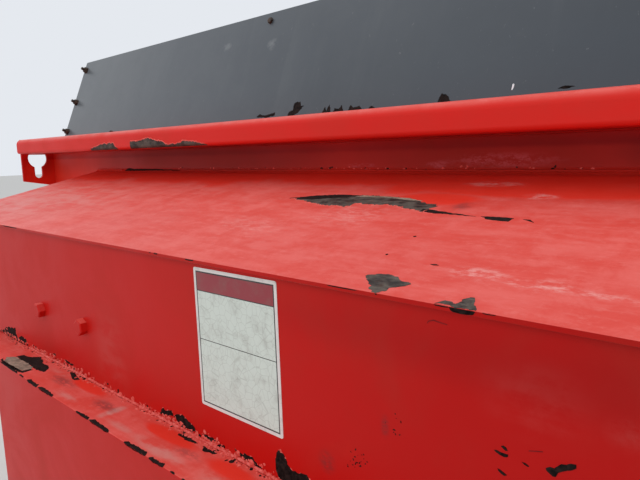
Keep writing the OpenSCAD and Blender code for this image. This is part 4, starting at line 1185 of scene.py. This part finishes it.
def weld_line(name, paths, radius, step, finish):
    """Weld beads on the red sheets: a lumpy rod swept along each path."""
    mesh = bpy.data.meshes.new(name)
    verts, edges = [], []
    for path in paths:
        edges += [(len(verts) + i, len(verts) + i + 1) for i in range(len(path) - 1)]
        verts += path
    mesh.from_pydata(verts, edges, [])
    group, t, start, end, ids = node_group(name, ["Radius", "Step"])
    curve = t.add("GeometryNodeMeshToCurve", Mesh=start["Geometry"])
    curve = t.add(
        "GeometryNodeResampleCurve", settings={"mode": "LENGTH"}, Curve=curve, Length=start["Step"]
    )
    place = t.add("GeometryNodeInputPosition")
    lump = t.add("ShaderNodeTexNoise", Vector=place, Scale=170.0, Detail=3.0)
    wander = t.add("ShaderNodeTexNoise", out=1, Vector=place, Scale=60.0, Detail=2.0)
    half = (0.5, 0.5, 0.5)
    wander = t.add(
        "ShaderNodeVectorMath", settings={"operation": "SUBTRACT"}, in_0=wander, in_1=half
    )
    shift = t.add(
        "ShaderNodeVectorMath", settings={"operation": "SCALE"}, in_0=wander, Scale=start["Radius"]
    )
    curve = t.add("GeometryNodeSetPosition", Geometry=curve, Offset=shift)
    curve = t.add(
        "GeometryNodeSetCurveRadius", Curve=curve, Radius=t.ramp(lump, 0.25, 0.75, 0.35, 1.7)
    )
    ring = t.add("GeometryNodeCurvePrimitiveCircle", Resolution=7, Radius=start["Radius"])
    solid = t.add("GeometryNodeCurveToMesh", Curve=curve, Profile_Curve=ring, Fill_Caps=True)
    values = {"Radius": radius, "Step": step}
    mesh = grown(name, mesh, group, ids, values, end, solid, finish)
    mesh.polygons.foreach_set("use_smooth", [True] * len(mesh.polygons))
    return new_piece(name, mesh, "hopper", "red_paint", finish)


def flight_mesh(name, hand, begin, turns, finish):
    """One auger flight: a rectangle swept along a spiral, laid along X and set on its axis.

    It starts upright at its rear end and turns the way the CAD's flight does: outwards.
    """
    sizes = ["Turns", "Length", "Begin", "Foot", "Rim", "Thickness"]
    group, t, start, end, ids = node_group(name, sizes)
    middle = t.times(t.plus(start["Foot"], start["Rim"]), 0.5)
    curve = t.add(
        "GeometryNodeCurveSpiral", Resolution=64, Rotations=start["Turns"], Start_Radius=middle,
        End_Radius=middle, Height=start["Length"], Reverse=hand < 0,
    )
    curve = t.add("GeometryNodeSetCurveNormal", settings={"mode": "Z_UP"}, Curve=curve)
    width = t.math("SUBTRACT", start["Rim"], start["Foot"])
    profile = t.add(
        "GeometryNodeCurvePrimitiveQuadrilateral", Width=width, Height=start["Thickness"]
    )
    solid = t.add("GeometryNodeCurveToMesh", Curve=curve, Profile_Curve=profile, Fill_Caps=True)
    solid = t.add("GeometryNodeTransform", Geometry=solid, Rotation=(0.0, math.pi / 2, 0.0))
    axis = t.add("ShaderNodeCombineXYZ", X=start["Begin"], Y=hand * AUGER_Y, Z=AUGER_Z)
    solid = t.add(
        "GeometryNodeTransform", Geometry=solid, Rotation=(math.pi, 0.0, 0.0), Translation=axis
    )
    values = {
        "Turns": turns, "Length": turns * PITCH, "Begin": begin, "Foot": WELD_R,
        "Rim": AUGER_R, "Thickness": 0.009,
    }
    return grown(name, bpy.data.meshes.new(name), group, ids, values, end, solid, finish)


def mark_rubbed(mesh, y, z, low, high):
    """Stores how much the load rubs each corner, from its distance to the axis."""
    rubbed = mesh.attributes.new("rubbed", "FLOAT", "POINT")
    for i, vert in enumerate(mesh.vertices):
        far = math.hypot(vert.co.y - y, vert.co.z - z)
        rubbed.data[i].value = min(1.0, max(0.0, (far - low) / (high - low)))


def make_augers(steel, zinc):
    """Both augers: smooth flights, tubes, stub shafts and throwing paddles."""
    wall_gap, flight_short, stub_past, chamfer = 0.006, 0.015, 0.018, 0.003
    half = INNER_X - wall_gap
    flight_half = half - flight_short
    stub = WALL_X + BEARING_LEN + stub_past
    cad_steps = 24
    turns = math.floor(2 * flight_half / PITCH * cad_steps) / cad_steps
    for hand, name in ((1, "auger_left"), (-1, "auger_right")):
        y = hand * AUGER_Y
        mesh = smooth(flight_mesh(name + "_flight", hand, -flight_half, turns, steel), 40)
        mark_rubbed(mesh, y, AUGER_Z, 0.08, 0.25)
        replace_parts(new_piece(name + "_flight", mesh, name, "worn_steel", steel), name)
        bm = bmesh.new()
        turned(bm, [
            (-stub, 0), (-stub, STUB_R - chamfer), (-stub + chamfer, STUB_R), (-half, STUB_R),
            (-half, TUBE_R - chamfer), (-half + chamfer, TUBE_R), (half - chamfer, TUBE_R),
            (half, TUBE_R - chamfer), (half, STUB_R), (stub - chamfer, STUB_R),
            (stub, STUB_R - chamfer), (stub, 0),
        ], y, AUGER_Z)
        mesh = smooth(mesh_of(bm, name + "_shaft"), 30)
        mark_rubbed(mesh, y, AUGER_Z, 0.06, 0.25)
        new_piece(name + "_shaft", mesh, name, "worn_steel", steel)
    make_paddles(steel, zinc)


def make_paddles(steel, zinc):
    """Three bolted paddles on the left auger, beside the expeller."""
    bm = bmesh.new()
    paddles, reach, half, half_thick, corner = 3, AUGER_R - 0.020, 0.075, 0.006, 0.020
    outline = [
        (-half, WELD_R), (half, WELD_R), (half, reach - corner), (half - corner, reach),
        (corner - half, reach), (-half, reach - corner),
    ]
    bolts = []
    for i in range(paddles):
        turn = Matrix.Rotation(math.radians(360 / paddles * i), 3, "X")
        centre = Vector((HOUSING_X + (i + 0.5) * EXPELLER_LEN / paddles, AUGER_Y, AUGER_Z))
        sides = [
            [bm.verts.new(turn @ Vector((u, s * half_thick, v)) + centre) for u, v in outline]
            for s in (-1, 1)
        ]
        bm.faces.new(sides[0])
        bm.faces.new(sides[1][::-1])
        for k in range(len(outline)):
            j = (k + 1) % len(outline)
            bm.faces.new([sides[0][k], sides[1][k], sides[1][j], sides[0][j]])
        bolts += [
            (turn @ Vector((u, s * half_thick, v)) + centre, turn @ Vector((0, s, 0)))
            for u in (-0.045, 0.045) for v in (0.10, 0.14) for s in (-1, 1)
        ]
    mesh = eased(mesh_of(bm, "throwing_paddles"), 0.0015)
    mark_rubbed(mesh, AUGER_Y, AUGER_Z, 0.05, 0.2)
    new_piece("throwing_paddles", mesh, "auger_left", "worn_steel", steel)
    stamp("paddle_bolts", bolts, hex_bolt, 0.006, zinc, "auger_left", "worn_steel")


def make_input_stub(steel):
    """The input shaft: a plain journal and a stub with six splines and a locking groove."""
    bm = bmesh.new()
    x0, journal, journal_r = WALL_X + 0.050, WALL_X + 0.213, 0.020
    turned(bm, [
        (x0, 0), (x0, journal_r), (journal - 0.001, journal_r), (journal, journal_r - 0.001),
        (journal, 0),
    ], 0, INPUT_Z)
    rim, root = 0.0175, 0.0149
    section = [
        (r, math.radians(60 * k + a)) for k in range(6)
        for a, r in ((-13, root), (-11.5, rim), (0, rim), (11.5, rim), (13, root), (30, root))
    ]
    groove = INPUT_TIP - 0.030
    stations = [
        (journal - 0.001, 1.0), (groove - 0.004, 1.0), (groove - 0.003, 0.84),
        (groove + 0.003, 0.84), (groove + 0.004, 1.0), (INPUT_TIP - 0.002, 1.0),
        (INPUT_TIP, 0.86),
    ]
    rings = []
    for x, share in stations:
        cut = [(min(r, rim * share), a) for r, a in section]
        points = [(x, r * math.sin(a), INPUT_Z + r * math.cos(a)) for r, a in cut]
        rings.append([bm.verts.new(point) for point in points])
    for a, b in zip(rings, rings[1:]):
        for k in range(len(a)):
            j = (k + 1) % len(a)
            bm.faces.new([a[k], a[j], b[j], b[k]])
    bm.faces.new(rings[0])
    bm.faces.new(rings[-1][::-1])
    mesh = smooth(mesh_of(bm, "splined_stub"), 25)
    mark_rubbed(mesh, 0, INPUT_Z, 0.0, 0.02)
    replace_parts(new_piece("splined_stub", mesh, "input", "worn_steel", steel), "input_shaft")


def make_sign(finish):
    """A blank sheet sign with rounded corners, stuck a little askew on the side sheet."""
    centre = (-0.4893, 1.2002)
    tilt, corner, thick = math.radians(0.6), 0.003, 0.0006
    outline = []
    for sx, sz, first in ((1, 1, 0), (-1, 1, 90), (-1, -1, 180), (1, -1, 270)):
        for k in range(5):
            a = math.radians(first + 90 * k / 4)
            outline.append((
                sx * (SIGN_W / 2 - corner) + corner * math.cos(a),
                sz * (SIGN_H / 2 - corner) + corner * math.sin(a),
            ))
    bm = bmesh.new()
    uv = bm.loops.layers.uv.new("UVMap")
    top, back = (
        [
            bm.verts.new(SHEETS["side"](
                centre[0] + x * math.cos(tilt) - z * math.sin(tilt),
                centre[1] + x * math.sin(tilt) + z * math.cos(tilt),
                out,
            ))
            for x, z in outline
        ]
        for out in (thick, -0.0002)
    )
    n = len(outline)
    faces = [(bm.faces.new(top), outline), (bm.faces.new(back[::-1]), outline[::-1])]
    for i in range(n):
        j = (i + 1) % n
        ring = [outline[j], outline[i], outline[i], outline[j]]
        faces.append((bm.faces.new([top[j], top[i], back[i], back[j]]), ring))
    for face, flat in faces:
        for loop, at in zip(face.loops, flat):
            loop[uv].uv = at
    bmesh.ops.recalc_face_normals(bm, faces=bm.faces)
    mesh = bpy.data.meshes.new("blank_sign")
    bm.to_mesh(mesh)
    bm.free()
    new_piece("blank_sign", mesh, "hopper", "red_paint", finish)


def mirrored(places, axis):
    """Places and facings reflected in the plane across an axis."""
    flip = Vector([-1 if i == axis else 1 for i in range(3)])
    return [(p * flip, w * flip) for p, w in places]


def along_outline(points, spacing):
    """Places evenly along a closed outline of (y, z) points."""
    out = []
    for (y0, z0), (y1, z1) in zip(points, points[1:] + points[:1]):
        n = max(1, round(math.hypot(y1 - y0, z1 - z0) / spacing))
        out += [(y0 + (y1 - y0) * (k + 0.5) / n, z0 + (z1 - z0) * (k + 0.5) / n) for k in range(n)]
    return out


def make_bolts(red, black, zinc):
    """Bolts, studs, nipples and plugs, in the places where the real ones sit."""
    side = [(Vector((x, -SIDE_Y, 1.147)), -INWARD) for x in (-1.090, -0.912)]
    side += mirrored(side, 0)
    side += mirrored(side, 1)
    stamp("side_bolts", side, bare_head, 0.0085, red, "hopper", "red_paint")
    lean = ALONG.cross(GUARD_RISE)
    lone = [(SHEETS["guard"](-0.919, 0.244), lean)]
    stamp("lone_stud", lone, bare_head, 0.0040, black, "hopper", "dark_paint")
    studs = [(SHEETS["guard"](-1.806, h), lean) for h in (0.022, 0.123, 0.236)]
    studs += mirrored(studs, 0)
    studs += mirrored(studs, 1)
    stamp("guard_studs", studs, stud_and_nut, 0.0052, black, "hopper", "dark_paint")
    face = -(WALL_X + BEARING_T)
    bolt_off = 0.056
    flanges = [
        (Vector((face, side * AUGER_Y + a * bolt_off, AUGER_Z + b * bolt_off)), -ALONG)
        for side in (-1, 1) for a in (-1, 1) for b in (-1, 1)
    ]
    stamp("bearing_bolts", flanges, hex_bolt, 0.0075, zinc, "hopper", "cast_iron")
    middle = (BEARING_T + BEARING_LEN) / 2
    hubs = [(Vector((-WALL_X - middle, s * AUGER_Y, AUGER_Z + HUB_R)), RISE) for s in (-1, 1)]
    housing_sheet = 0.006
    hubs.append((Vector((HOUSING_X - housing_sheet - middle, ROTOR_Y, ROTOR_Z + HUB_R)), RISE))
    stamp("grease_nipples", hubs, grease_nipple, 0.0045, zinc, "hopper", "cast_iron")
    out = 0.137
    cover = [
        (-AUGER_Y - out, AUGER_Z - out), (-AUGER_Y - out, AUGER_Z + out), (-out, INPUT_Z + out),
        (out, INPUT_Z + out), (ROTOR_Y + out, ROTOR_Z + out), (ROTOR_Y + out, ROTOR_Z - out),
        (AUGER_Y + out, AUGER_Z - out),
    ]
    cover = [(Vector((WALL_X + 0.005, y, z)), ALONG) for y, z in along_outline(cover, 0.17)]
    stamp("cover_bolts", cover, hex_bolt, 0.005, zinc, "hopper", "dark_paint")
    door_low, door_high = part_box("door_frame")
    first, spacing = door_low.z + 0.05, 0.104
    keeper = [
        (Vector((x, door_high.y, first + spacing * k)), INWARD)
        for x in (door_low.x + 0.015, door_high.x - 0.015) for k in range(5)
    ]
    stamp("keeper_bolts", keeper, hex_bolt, 0.005, zinc, "hopper", "red_paint")
    barrel_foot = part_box("door_cylinder")[0].z
    levels = (barrel_foot + 0.030, BARREL_TOP - 0.020)
    ports = [(Vector((PORT_X, PORT_Y, z)), ALONG) for z in levels]
    stamp("port_plugs", ports, bare_head, 0.0065, zinc, "hopper", "dark_paint")


def make_welds(paint, seam):
    """Beads along the seams that show, on both sides and at the ends."""
    seams = []
    y, z, from_x = SIDE_Y + 0.0012, LEDGE_Z + 0.0012, -SKIRT_END + 0.005
    for s, end in ((-1, SKIRT_END - 0.005), (1, 0.820)):
        seams.append([(from_x, s * y, z), (end, s * y, z)])
    weld_line("ledge_welds", seams, 0.0025, 0.003, seam)
    edges = []
    for s in (-1, 1):
        foot = s * (MOUTH_Y + 0.001)
        edges.append([(x, foot, RAIL_Z - 0.001) for x in (-RAIL_X + 0.01, RAIL_X - 0.01)])
        for ends in ((-INNER_X + 0.01, CRACK_X[0]), (CRACK_X[1], INNER_X - 0.01)):
            edges.append([(x, s * (MOUTH_Y + 0.0032), 1.4030) for x in ends])
        for e in (-1, 1):
            x, tip = e * WALL_X, e * (RAIL_X - 0.001)
            up, down = s * (SIDE_Y - 0.002), RAIL_Z - 0.001
            edges += [
                [(x, up, LEDGE_Z + 0.01), (x, up, LIP_Z - 0.01)],
                [(tip, s * (MOUTH_Y + 0.02), down), (tip, s * (RAIL_Y - 0.02), down)],
            ]
    weld_line("edge_welds", edges, 0.0022, 0.006, paint)


def make_end_plates(paint):
    """The ledge runs on to a point past the skirt's ends: three-cornered plates at its level.

    The left front one is missing, because the expeller's duct stands there.
    """
    bm = bmesh.new()
    thick, reach, foot, tip = 0.005, 0.18, SIDE_Y + 0.0003, LEDGE_Y - SKIRT_FOLD - 0.0002
    for side, end in ((-1, -1), (-1, 1), (1, -1)):
        x = end * (SKIRT_END - 0.0002)
        flat = [(x, side * foot), (x, side * tip), (x + end * 0.012, side * tip)]
        flat += [(x + end * reach, side * (foot + 0.006)), (x + end * reach, side * foot)]
        rings = [[bm.verts.new((u, v, z)) for u, v in flat] for z in (LEDGE_Z - thick, LEDGE_Z)]
        bm.faces.new(rings[0])
        bm.faces.new(rings[1][::-1])
        for k in range(len(flat)):
            j = (k + 1) % len(flat)
            bm.faces.new([rings[0][k], rings[1][k], rings[1][j], rings[0][j]])
    mesh = eased(mesh_of(bm, "ledge_end_plates"), 0.0008)
    new_piece("ledge_end_plates", mesh, "hopper", "red_paint", paint)


def make_crumbs(coral, black):
    """Crumbled paint along the seam above the ledge, thickest by the chips."""
    pick = random.Random(5)
    # Along the seam: centre, spread, how many
    clusters = [
        (-1.25, 0.07, 130), (-1.12, 0.07, 150), (-1.02, 0.05, 110), (-0.94, 0.05, 70),
        (-0.82, 0.06, 50), (-0.71, 0.05, 70), (-0.63, 0.05, 130), (-0.55, 0.05, 90),
        (-0.47, 0.04, 60),
    ]
    pale, dark = [], []
    for centre, spread, count in clusters:
        for _ in range(count):
            x = pick.gauss(centre, spread * 0.6)
            if not -1.35 < x < -0.40:
                continue
            way = abs(pick.gauss(0, 0.0045))
            if pick.random() < 0.5 and x > -1.30:
                point, facing = Vector((x, -SIDE_Y - 0.002 - way, LEDGE_Z)), RISE
            else:
                point, facing = Vector((x, -SIDE_Y, LEDGE_Z + 0.002 + way)), -INWARD
            size = pick.uniform(0.30, 0.9) + 0.9 * pick.random() ** 4
            stretch = (size * pick.uniform(0.6, 1.6), size * pick.uniform(0.5, 1.2), 0.45 * size)
            (pale if pick.random() < 0.84 else dark).append((point, facing, stretch))
    for _ in range(90):
        x, z = pick.uniform(-1.25, -0.15), 1.4045 + abs(pick.gauss(0, 0.0022))
        size = pick.uniform(0.3, 0.9)
        stretch = (size * pick.uniform(0.4, 2.0), size * pick.uniform(0.4, 2.0), 0.2)
        fleck = (SHEETS["wall_foot"](x, z), -INWARD, stretch)
        (pale if pick.random() < 0.7 else dark).append(fleck)
    stamp("paint_crumbs", pale, crumb, 0.0028, coral, "hopper", "red_paint")
    for centre_x, centre_z, count in ((-0.299, 1.119, 26), (-0.247, 1.175, 9)):
        for _ in range(count):
            x, z = pick.gauss(centre_x, 0.006), pick.gauss(centre_z, 0.006)
            size = pick.uniform(0.15, 0.4)
            dark.append((Vector((x, -SIDE_Y, z)), -INWARD, (size, size * pick.uniform(1, 2), 0.12)))
    stamp("dark_crumbs", dark, crumb, 0.0024, black, "hopper", "red_paint")


def make_room():
    """Pale floor, even world light and one large soft lamp overhead."""
    world = bpy.data.worlds.new("room")
    bpy.context.scene.world = world
    world.use_nodes = True
    t = Tree(world.node_tree)
    light = world.node_tree.nodes["Background"]
    light.inputs["Color"].default_value = (0.95, 0.97, 1.0, 1.0)
    light.inputs["Strength"].default_value = 0.95
    seen = t.add("ShaderNodeBackground", Color=rgb(229, 233, 239), Strength=1.0)
    path = world.node_tree.nodes.new("ShaderNodeLightPath")
    direct = t.math("MAXIMUM", path.outputs["Is Camera Ray"], path.outputs["Is Glossy Ray"])
    direct = t.math("MAXIMUM", direct, path.outputs["Is Transmission Ray"])
    both = t.add("ShaderNodeMixShader", in_0=direct, in_1=light.outputs[0], in_2=seen)
    world.node_tree.links.new(both, world.node_tree.nodes["World Output"].inputs["Surface"])

    lamp = bpy.data.lights.new("overhead", "AREA")
    lamp.shape = "RECTANGLE"
    lamp.size, lamp.size_y = 12.0, 12.0
    lamp.energy = 220
    holder = bpy.data.objects.new("overhead", lamp)
    holder.location = (-1.0, -1.5, 8.0)
    bpy.context.scene.collection.objects.link(holder)

    mesh = bpy.data.meshes.new("floor")
    r = 60  # metres to each side
    mesh.from_pydata([(-r, -r, 0), (r, -r, 0), (r, r, 0), (-r, r, 0)], [], [(0, 1, 2, 3)])
    floor = bpy.data.objects.new("floor", mesh)
    bpy.context.scene.collection.objects.link(floor)
    mat, t, shader, place = finish_of("floor")
    grain = t.noise(place, 3.0, 6.0, 0.6)
    coat(t, shader, t.mix(grain, rgb(196, 195, 192), rgb(206, 205, 202)), 0.9)
    mesh.materials.append(mat)


# A corner this close to the stub's radius is the bore's, and gets this much room
BORE_NEAR, BORE_ROOM = 0.0002, 0.0004


def widen_bore(mesh, y, z):
    """Opens a bearing's bore a little, so that a faceted shaft can turn in it."""
    for vert in mesh.vertices:
        reach = math.hypot(vert.co.y - y, vert.co.z - z)
        if reach < STUB_R + BORE_NEAR:
            grow = (STUB_R + BORE_ROOM) / reach
            vert.co.y = y + (vert.co.y - y) * grow
            vert.co.z = z + (vert.co.z - z) * grow


# How far each node's corners are eased, where it isn't the usual 1.2 mm
SOFT_CORNERS = {
    "gearbox": 0.003, "auger_bearings": 0.003, "expeller_bearings": 0.003, "sill_left": 0.002,
    "sill_right": 0.002, "door_cylinder": 0.001, "door_rod": 0.0008, "expeller_rotor": 0.001,
}


def faces_load(node, centre, normal):
    """True where a sheet's face looks into the hopper or the expeller's housing."""
    side = 1 if centre.y > 0 else -1
    if node.startswith("trough"):
        return (Vector((0, side * AUGER_Y, AUGER_Z)) - centre).dot(normal) > 0
    if node.startswith("end_wall"):
        return normal.x * centre.x < 0 and abs(centre.x) < INNER_X + 0.001
    if node.startswith("flare"):
        return normal.z > 0.3
    if node.startswith("side_sheet"):
        return normal.y * side < -0.5
    if node.startswith("shoulder"):
        return normal.z < -0.5 or (normal.y * side < -0.5 and abs(centre.y) < MOUTH_Y)
    if node == "expeller_housing":
        axis = Vector((centre.x, ROTOR_Y, ROTOR_Z))
        return (axis - centre).dot(normal) > 0 or normal.x > 0.5
    return False


def dress_nodes(finishes, scoured, edges):
    """Shows each plain node by a copy with eased corners and its own finish."""
    record = frame["record"]
    slots = {part["node"]: part["material_slot"] for part in record["subparts"]}
    bodies = {n: body for body, nodes in record["behaviour"]["bodies"].items() for n in nodes}
    own_pieces = ("auger_left", "auger_right", "input_shaft")
    for node, slot in slots.items():
        if node in own_pieces:
            continue
        plain = node_mesh(node)
        if node.endswith("bearings"):
            for y, z in ((ROTOR_Y, ROTOR_Z), (AUGER_Y, AUGER_Z), (-AUGER_Y, AUGER_Z)):
                widen_bore(plain, y, z)
        mesh = eased(plain, SOFT_CORNERS.get(node, EASE), 2 if slot in edges else -1)
        for face in mesh.polygons:
            if faces_load(node, face.center, face.normal):
                face.material_index = 1
        if slot == "worn_steel":
            mark_rubbed(mesh, ROTOR_Y, ROTOR_Z, 0.06, 0.23)
        coats = (finishes[slot], scoured, edges[slot]) if slot in edges else (finishes[slot],)
        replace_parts(new_piece(node + "_dressed", mesh, bodies[node], slot, *coats), node)


def make_all():
    """The whole scene: camera, room, finishes and every piece."""
    place_camera()
    make_room()
    red = chipped_red_paint()
    dark = scratched_dark_paint()
    steel = auger_steel()
    plain = {name: grained(name, *values) for name, values in PLAIN_FINISHES.items()}
    # scale is the near-black finish, also used for painted shadows
    zinc, scale = plain["dull_zinc"], plain["black_scale_and_shadow"]
    bare = bare_plate()
    finishes = {
        "red_paint": red, "dark_paint": dark, "worn_steel": steel,
        "cast_iron": plain["cast_iron"], "chrome_rod": chrome_plate(),
    }
    # Corner finishes: worn paint, made paler as a painted highlight along each corner
    edges = {
        "red_paint": rubbed_and_lit_edge("rubbed_lit_red_edge", (196, 40, 30), (220, 84, 74), (70, 56, 50)),
        "dark_paint": rubbed_and_lit_edge("rubbed_lit_dark_edge", (60, 66, 70), (96, 100, 96), (120, 104, 88)),
    }
    # The plain nodes lie hidden under their dressed copies, and still carry a finish
    for node in frame["nodes"].values():
        node.data.materials.clear()
        node.data.materials.append(red)
    dress_nodes(finishes, scoured_sheet(), edges)
    make_augers(steel, zinc)
    make_input_stub(steel)
    shown = (bare, scale, plain["tan_primer"], plain["scratched_red"], plain["pale_fleck"])
    make_chips(plain["paint_edge"], *shown)
    make_far_chips(bare, scale)
    make_sign(blank_sign_face())
    make_bolts(red, plain["black_bolt"], zinc)
    make_welds(red, plain["crumbly_seam"])
    make_end_plates(red)
    make_crumbs(plain["coral_crumb"], scale)


make_all()
bpy.context.scene.view_settings.view_transform = "Standard"
